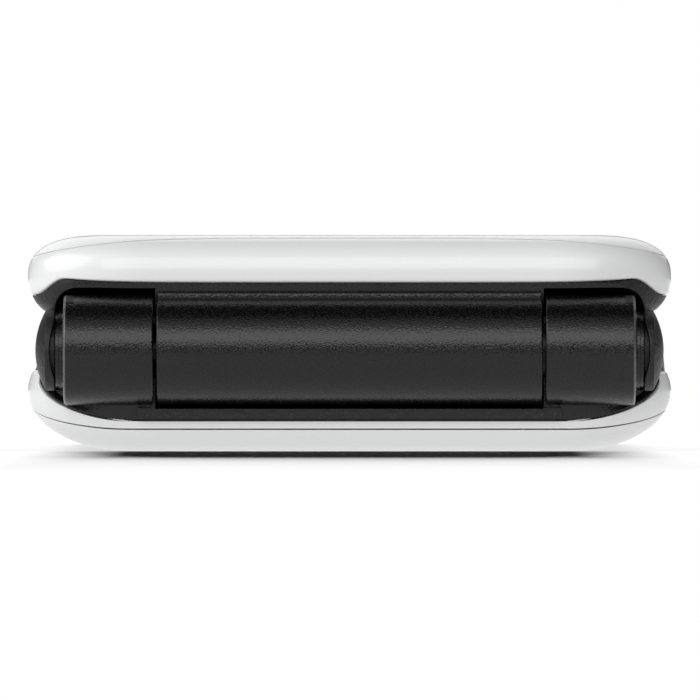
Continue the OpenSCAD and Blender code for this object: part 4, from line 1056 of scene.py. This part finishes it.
# the lid's black frame with the barrel
print("lid frame")
tray = {
    "lip": 0.8, "side": 1.52, "foot": 0.3, "footRise": 0.25, "window": (46.8, 66.8, 3),
    "opening": (42.6, 58.6, 1.5), "windowY": 3.5, "windowDeep": 0.8, "through": 3, "earSlot": (9, 1.6),
    "earSlotY": 42, "tongue": (-50.4, -45.0, 11.0, 14.13), "tongueRound": 0.14, "screwR": 1.85,
    "screwDeep": 0.8, "archEnd": 26.75, "archRound": 2.3, "archGap": 0.3, "roofThick": 0.75,
    "roofX": (16.55, 27.2), "roofIn": 2.1, "roofLift": 0.5, "boreX": (-1, 2),
    "rest": ((16.6, -43.3, 12.01), (18.2, -42.6, 12.6)),
}


def traySection(s):
    low, high = phone["lidBottom"], ringZ(s) - lid["seamGap"]
    back, side, lip, share = lidIn(high), tray["side"], tray["lip"], lid["endShare"]
    foot = low + tray["footRise"]
    outer = [lidPoint(s, low, lid["frameOut"] + tray["foot"])]
    outer += [lidPoint(s, foot + (high - foot) * t, lid["frameOut"])
              for t in (0, 0.1, 0.25, 0.4, 0.55, 0.7, 0.85, 1)]
    inner = [sunk(s, back, share, side, high), sunk(s, back, share, side, high + lip),
             sunk(s, back, share, side + lip, high + lip),
             sunk(s, back, share, side + lip, low + lid["plate"])]
    return softened(outer + inner, {1: 0.12, 8: 0.05})


def archCut(side):
    # clears the knuckle, with a rounded outer end, and the ear beyond it
    r, start, end, bend = hinge["archR"], hinge["pocketX"], tray["archEnd"], tray["archRound"]
    earR, outside = hinge["earR"] + tray["archGap"], phone["halfWidth"] + past
    profile = [(start, 0), (start, r)] + arc((end - bend, r - bend), bend, 90, 0, 8)
    profile += [(end, earR), (outside, earR), (outside, 0)]
    return turned("cut", [(side * a, b) for a, b in profile], hingeAt)


def archRoof(side):
    # the wall over an arch, kept inside the lid
    start, end = tray["roofX"]
    low, high = phone["lidBottom"] + tray["roofLift"], phone["top"]
    roof = hingeRod("roof", hinge["archR"] + tray["roofThick"], side * start, side * end)
    return keepInside(roof, outlineBlock("keep", tray["roofIn"], low, high))


def barrelPiece():
    x, r, edge = hinge["barrelX"], hinge["barrelR"], hinge["edgeRound"]
    profile = [(-x, 0)] + arc((-x + edge, r - edge), edge, 180, 90, 4)
    profile += arc((x - edge, r - edge), edge, 90, 0, 4) + [(x, 0)]
    return turned("barrel", profile, hingeAt, steps=160)


def tonguePiece():
    # joins the barrel to the lid, its front edge rounded
    front, back, low, high = tray["tongue"]
    x = hinge["barrelX"] - 0.1
    obj = brick("tongue", (-x, front, low), (x, back, high))

    def onEdge(a, b):
        return min(a.z, b.z) > high - 0.01 and max(a.y, b.y) < front + 0.01
    return roundEdges(obj, tray["tongueRound"], 3, onEdge)


def rest(side):
    # a black block that stands in for shade: it keeps light out of the gap at the barrel's end
    return sideBrick("rest", side, *tray["rest"])


lidFrame = wrap("lidFrame", traySection, False)
fuse(lidFrame, *bothSides(archRoof), barrelPiece(), tonguePiece(), *bothSides(rest))
at, bottom = (0, tray["windowY"]), phone["lidBottom"]
low, top = bottom - past, bottom + tray["through"]
x, (boreEnd, boreStart) = hinge["barrelX"] + 0.1, tray["boreX"]
carve(lidFrame, *bothSides(archCut), hingeRod("cut", hinge["bore"], -x, boreEnd, 64),
      hingeRod("cut", hinge["bore"], boreStart, x, 64),
      plate("cut", *tray["window"], low, bottom + tray["windowDeep"], at),
      plate("cut", *tray["opening"], low, top, at),
      slotCutter(*tray["earSlot"], low, top, (0, tray["earSlotY"])),
      *posts("cut", tray["screwR"], lidScrews, low, bottom + tray["screwDeep"], 48),
      *posts("cut", screw["hole"], lidScrews, low, top, 48))
finishPiece(smooth(lidFrame), "lid", "black_frame", "lid_frame")

print("volume rocker")
rocker = {
    "y": -16, "length": 16, "z": (5.7, 9.05), "out": 28.84, "lean": 0.25, "inner": 25.6, "round": 0.3,
    "crown": 0.03, "crownZ": (1.1, 2.2), "grooveX": (27.9, 30), "grooveWide": 0.5, "flangeX": (-0.6, 0.1),
    "flangeEnd": 1, "flangeZ": (1.3, 0.5),
}


def rockerProfile():
    low, high = rocker["z"]

    def face(z):
        return rocker["out"] - rocker["lean"] * (z - low) / (high - low)
    crown = [(face(low + rise) + rocker["crown"], low + rise) for rise in rocker["crownZ"]]
    return [(rocker["inner"], low), (face(low), low), *crown, (face(high), high), (rocker["inner"], high)]


low, high = rocker["z"]
start, end = [rocker["y"] + side * rocker["length"] / 2 for side in (-1, 1)]
volumeKey = prism("volumeKey", [(x, start, z) for x, z in rockerProfile()], (0, rocker["length"], 0))
easeEdges(volumeKey, rocker["round"], 4, 40)
half, (x0, x1) = rocker["grooveWide"] / 2, rocker["grooveX"]
carve(volumeKey, brick("cut", (x0, rocker["y"] - half, low - past), (x1, rocker["y"] + half, high + past)))
x0, x1 = [rocker["inner"] + x for x in rocker["flangeX"]]
fuse(volumeKey, brick("flange", (x0, start - rocker["flangeEnd"], low + rocker["flangeZ"][0]),
                      (x1, end + rocker["flangeEnd"], high + rocker["flangeZ"][1])))
finishPiece(smooth(volumeKey), "volume_rocker", "side_key", "volume_key")

print("keypad")
keys = {
    "top": 12.05, "flange": (9.95, 10.65), "wing": 0.5, "nubZ": 8.72, "nubR": 1.2, "nubIn": 0.05,
    "round": 2.2, "ease": 0.32, "digit": (13.4, 9.8), "pitch": (15.0, 11.6), "firstY": -3.2,
    "soft": (11, 7.4), "softAt": (16.2, -28.6), "call": (11, 11), "callAt": (16.2, -16.8),
    "gap": 0.2, "ink": 0.012, "inkSize": 5.2, "bar": (1.6, 0.25),
}
nav = {
    "y": -22.0, "r": (4.4, 9.4), "round": 0.35, "dip": (0.06, 0.1), "nubAt": 6.8,
    "arrow": (7.1, 8.05, 0.75), "arrowZ": (0.14, 0.1), "okR": 4.2, "okWing": 0.4, "okRound": 0.3,
    "okNubR": 0.84,
}
keyPanel = {"size": (48, 78, 4), "z": (10.75, 11.65), "y": 1.0, "ease": 0.12}
receiver = {
    "reach": 3.3, "half": 0.42, "swell": 0.75, "swellFrom": 0.55, "swellOver": 0.18, "spread": 48,
    "lift": 0.6, "steps": 24, "callTurn": 45,
}


def pieceName(node):
    first, *words = node.split("_")
    return first + "".join(word.title() for word in words)


def digitAt(i):
    return keys["pitch"][0] * (1 - i % 3), keys["firstY"] + keys["pitch"][1] * (i // 3)


def besideNav(kind, side):
    x, y = keys[kind + "At"]
    return side * x, y


def nub(radius, at):
    # what presses on a key's dome
    return post("nub", radius, at, keys["nubZ"], keys["flange"][0] + keys["nubIn"], 32)


def keyBlank(size):
    # a cap with a rounded rim, the flange under it and the nub over its dome
    low, high = keys["flange"]
    top, wing = keys["top"], 2 * keys["wing"]
    cap = plate("blank", *size, keys["round"], low + 0.1, top)
    roundEdges(cap, keys["ease"], 5, lambda a, b: max(abs(a.z - top), abs(b.z - top)) < 1e-3)
    return fuse(cap, plate("rib", size[0] + wing, size[1] + wing, keys["round"] + 0.05, low, high),
                nub(keys["nubR"], (0, 0)))


def keyPiece(blank, node, at):
    return finishPiece(smooth(copyOf(blank, pieceName(node), (*at, 0))), node, slotOf[node], node)


def inked(obj, node):
    # a legend printed on a key, which moves with it
    return finishPiece(outward(obj, 1e-7), node, "key_silver")


def inkText(node, text, at):
    # reads from the far end, with its top towards the hinge
    select()
    bpy.ops.object.text_add()
    data = bpy.context.object.data
    data.body = text
    data.size = keys["inkSize"] * mm
    data.align_x, data.align_y = "CENTER", "CENTER"
    data.extrude = keys["ink"] / 2 * mm
    bpy.ops.object.convert(target="MESH")
    obj = bpy.context.object
    obj.rotation_euler = (0, 0, math.pi)
    obj.location = Vector((*at, keys["top"] + keys["ink"] / 4)) * mm
    return inked(freeze(obj, pieceName(node) + "Ink"), node)


def inkShape(node, shape, at):
    # a printed outline given as the reader sees it
    points = [(at[0] - u, at[1] - v, keys["top"] - keys["ink"] / 4) for u, v in shape]
    return inked(prism(pieceName(node) + "Ink", points, (0, 0, keys["ink"])), node)


def turnedShape(points, degrees):
    c, d = math.cos(math.radians(degrees)), math.sin(math.radians(degrees))
    return [(u * c - v * d, u * d + v * c) for u, v in points]


def handset(turn):
    # a receiver: an arc whose two ends swell inwards
    reach, half, count = receiver["reach"], receiver["half"], receiver["steps"]
    rise = receiver["lift"] - reach
    outer, inner = [], []
    for i in range(count + 1):
        t = 2 * i / count - 1
        a = math.radians(90 - receiver["spread"] * t)
        swollen = clamped((abs(t) - receiver["swellFrom"]) / receiver["swellOver"])
        thick = half + receiver["swell"] * swollen
        outer.append(((reach + half) * math.cos(a), (reach + half) * math.sin(a) + rise))
        inner.append(((reach - thick) * math.cos(a), (reach - thick) * math.sin(a) + rise))
    return turnedShape(outer + inner[::-1], turn)


def roundedRim(top, r, size):
    # a turned key's upper edge, from its side to its top
    return [(top - size * (1 - math.sin(a)), r - size * (1 - math.cos(a)))
            for a in (math.radians(15 * i) for i in range(7))]


# the keys that come from one blank each
blank = keyBlank(keys["digit"])
digits = [(f"key_{i + 1}", str(i + 1)) for i in range(9)]
digits += [("key_star", "*"), ("key_0", "0"), ("key_hash", "#")]
for i, (node, text) in enumerate(digits):
    keyPiece(blank, node, digitAt(i))
    inkText(node, text, digitAt(i))
bpy.data.objects.remove(blank)

halfWide, halfHigh = keys["bar"]
bar = [(-halfWide, -halfHigh), (halfWide, -halfHigh), (halfWide, halfHigh), (-halfWide, halfHigh)]
pairs = {
    "soft": (("soft_left", bar), ("soft_right", bar)),
    "call": (("call_key", handset(receiver["callTurn"])), ("end_key", handset(0))),
}
for kind, pair in pairs.items():
    blank = keyBlank(keys[kind])
    for (node, shape), side in zip(pair, (1, -1)):
        keyPiece(blank, node, besideNav(kind, side))
        inkShape(node, shape, besideNav(kind, side))
    bpy.data.objects.remove(blank)

# the ring and the key in its middle
low, high = keys["flange"]
top, wing = keys["top"], keys["wing"]
r0, r1 = nav["r"]
rim, dip = nav["dip"]
navProfile = [(low, r0 + wing), (low, r1 + wing), (high, r1 + wing), (high, r1)]
navProfile += roundedRim(top, r1, nav["round"])
navProfile += [(top - rim, r1 - 1.4), (top - dip, (r0 + r1) / 2), (top - rim, r0 + 1.0),
               (top - 0.02, r0 + 0.4), (top - dip, r0 + 0.12), (top - 0.3, r0),
               (high + 0.35, r0), (high + 0.35, r0 + wing)]
navRing = turned("navRing", navProfile, (0, nav["y"], 0), "Z", 160)
fuse(navRing, *[nub(keys["nubR"], (nav["nubAt"] * dx, nav["y"] + nav["nubAt"] * dy))
                for dx, dy in ((1, 0), (-1, 0), (0, 1), (0, -1))])
finishPiece(smooth(navRing), "nav_ring", "key_silver", "nav_ring")

start, tip, half = nav["arrow"]
deep, thick = nav["arrowZ"]
arrows = []
for turn in range(0, 360, 90):
    shape = turnedShape([(start, -half), (tip, 0.0), (start, half)], turn)
    arrows.append(prism("arrow", [(u, nav["y"] + v, top - deep) for u, v in shape], (0, 0, thick)))
navArrows = named(gang(*arrows), "navArrows")
finishPiece(navArrows, "nav_ring", "key_black")

r, skirt = nav["okR"], nav["okR"] + nav["okWing"]
okProfile = [(low, 0), (low, skirt), (high - 0.1, skirt), (high - 0.1, r)]
okProfile += roundedRim(top, r, nav["okRound"])
okProfile += [(top - rim, 3.0), (top - dip, 2.0), (top - 0.13, 1.0), (top - 0.14, 0)]
okKey = turned("okKey", okProfile, (0, nav["y"], 0), "Z", 96)
fuse(okKey, nub(nav["okNubR"], (0, nav["y"])))
finishPiece(smooth(okKey), "ok_key", "key_black", "ok_key")

gap = keys["gap"]
low, high = keyPanel["z"]


def keyHole(size, at):
    wide, long = size
    return plate("cut", wide + 2 * gap, long + 2 * gap, keys["round"] + gap, low - past, high + past, at)


keypadPanel = plate("keypadPanel", *keyPanel["size"], low, high, (0, keyPanel["y"]), 10)
carve(keypadPanel, gang(*[keyHole(keys["digit"], digitAt(i)) for i in range(12)],
                        *[keyHole(keys[kind], besideNav(kind, side)) for kind in pairs for side in (1, -1)],
                        post("cut", r1 + gap, (0, nav["y"]), low - past, high + past, 160)))
easeEdges(keypadPanel, keyPanel["ease"])
finishPiece(smooth(keypadPanel), "base", "panel_black", "keypad_panel")

print("windows")
windows = {
    "inner": {"piece": "displayWindow", "node": "display_window", "size": (46.6, 66.6, 2.9),
              "z": (12.33, 13.03), "y": 3.5, "lit": (40.5, 54)},
    "outer": {"piece": "outerWindow", "node": "outer_window", "size": (36, 26, 2.9),
              "z": (18.55, 19.25), "y": 2.0, "lit": (29, 19)},
}
paneEase = 0.14
for key, window in windows.items():
    at = (0, window["y"])
    pane = easeEdges(plate(window["piece"], *window["size"], *window["z"], at, 10), paneEase)
    glass = screenGlass(key + "Screen", at, window["lit"])
    finishPiece(smooth(pane), "lid", "window_black", window["node"], finish=glass)

# a dished glass with a raised rim
lens = {"at": panel["lens"][:2], "r": 3.4, "z": (18.35, 19.1), "dishR": 2.2}
low, high = lens["z"]
r, dish = lens["r"], lens["dishR"]
lensProfile = [(low, 0), (low, r), (high - 0.2, r), (high - 0.06, r - 0.06), (high, r - 0.2),
               (high, r - 0.6), (high - 0.05, r - 0.72), (high - 0.3, r - 0.8),
               (high - 0.34, dish + 0.1), (high - 0.22, dish)]
lensProfile += [(high - 0.08 - 0.14 * (q / dish) ** 2, q) for q in (1.8, 1.4, 1.0, 0.5, 0)]
cameraLens = smooth(turned("cameraLens", lensProfile, (*lens["at"], 0), "Z", 96), 25)
finishPiece(cameraLens, "lid", "lens", "camera_lens", finish=lensGlass("lensGlass", lens["at"]))

# four rubber feet over the lid's screws
bumper = {"r": 1.8, "z": (12.05, 12.48)}
r, (low, high) = bumper["r"], bumper["z"]
bumperProfile = [(high, 0), (high, r), (low + 0.16, r), (low + 0.05, r - 0.07), (low, r - 0.25), (low, 0)]
bumpers = gang(*[turned("bumper", bumperProfile, (*at, 0), "Z", 48) for at in lidScrews])
finishPiece(smooth(named(bumpers, "bumperSet")), "lid", "bumper_rubber", "bumpers")

print("stage")
stage = {
    "camera": (0.045 * mm, -1.10, 9.03 * mm), "frameWide": 62.61 * mm, "focusY": -45 * mm, "floor": 6.0,
    "sky": 0.015, "glow": 0.98, "glowShare": 0.8, "floorSeen": 0.9, "fade": (0.16, 0.12),
    "foot": (0.0238, 0.0085), "front": (-0.044, 0.004), "sideShadow": 0.25, "aim": (0, -0.03, 0.01),
}
# each lamp's bearing, height angle and distance, its size, its brightness and its shape
lamps = {
    "frontBox": ((0, 28, 1.0), (1.05, 0.56), 2.7, "RECTANGLE"),
    "upperBox": ((0, 57, 1.0), (1.7, 0.32), 0.6, "RECTANGLE"),
    "leftBox": ((-70, 29, 0.9), (0.9, 0.75), 2.3, "ELLIPSE"),
    "rearBox": ((180, 38, 1.3), (1.8, 1.1), 1.35, "RECTANGLE"),
    "floorBox": ((180, 14, 1.0), (0.5, 0.2), 208, "RECTANGLE"),
}
select()
bpy.ops.mesh.primitive_plane_add(size=stage["floor"])
floor = freeze(bpy.context.object, "floor")
paper = Finish("floorPaper")
paper.colour(paper.mixColour(paper.noise(30, 3), grey(0.62), grey(0.66)))
paper.rough(0.75 + 0.1 * paper.noise(200))
near = paper.add("ShaderNodeBsdfDiffuse", {"Color": grey(stage["floorSeen"])})
far = paper.add("ShaderNodeEmission", {"Color": grey(1), "Strength": 1.0})
x, y, _ = paper.axes()
away = (x * x + y * y) ** 0.5
# the floor seen by the camera is painted plain white beside the rounded foot, a painted light that makes
# the real shadow in front narrow towards the foot
paintedLightBeside = x.size().over(*stage["foot"]) * (1 - stage["sideShadow"] * y.over(*stage["front"]))
seen = paper.mixShader(away.over(*stage["fade"]).most(paintedLightBeside), paper.out(near), paper.out(far))
glow = paper.add("ShaderNodeEmission", {"Color": grey(1), "Strength": stage["glow"]})
felt = paper.mixShader(stage["glowShare"], paper.out(paper.shader), paper.out(glow))
paper.surface(paper.mixShader(paper.fromCamera(), felt, seen))
floor.data.materials.append(paper.material)

world = bpy.data.worlds.new("studio")
bpy.context.scene.world = world
world.use_nodes = True
sky = Nodes(world.node_tree)
dim, bright = [sky.out(sky.add("ShaderNodeBackground", {"Color": grey(1), "Strength": strength}))
               for strength in (stage["sky"], 1.0)]
sky.add("ShaderNodeOutputWorld", {"Surface": sky.mixShader(sky.fromCamera(), dim, bright)})


def softbox(name, where, size, brightness, shape):
    # an area lamp aimed at the phone, its power worked out from its brightness
    bearing, climb, distance = math.radians(where[0]), math.radians(where[1]), where[2]
    data = bpy.data.lights.new(name, "AREA")
    data.shape = shape
    data.size, data.size_y = size
    data.energy = brightness * math.pi * size[0] * size[1]
    obj = bpy.data.objects.new(name, data)
    bpy.context.scene.collection.objects.link(obj)
    level = distance * math.cos(climb)
    obj.location = (level * math.sin(bearing), -level * math.cos(bearing), distance * math.sin(climb))
    obj.rotation_euler = (Vector(stage["aim"]) - obj.location).to_track_quat("-Z", "Y").to_euler()
    return obj


for name, settings in lamps.items():
    lamp = softbox(name, *settings)
    # only the floor's own lamp lights the floor
    lit = bpy.data.collections.new(name + "Lit")
    lamp.light_linking.receiver_collection = lit
    lit.objects.link(floor)
    lit.collection_objects[0].light_linking.link_state = "INCLUDE" if name == "floorBox" else "EXCLUDE"

camera = bpy.data.cameras.new("camera")
camera.sensor_width = 36
camera.lens = camera.sensor_width * (stage["focusY"] - stage["camera"][1]) / stage["frameWide"]
camera.clip_start, camera.clip_end = 0.05, 20
cameraObject = bpy.data.objects.new("camera", camera)
bpy.context.scene.collection.objects.link(cameraObject)
cameraObject.location = stage["camera"]
cameraObject.rotation_euler = (math.pi / 2, 0, 0)
bpy.context.scene.camera = cameraObject
bpy.context.scene.view_settings.view_transform = "Standard"
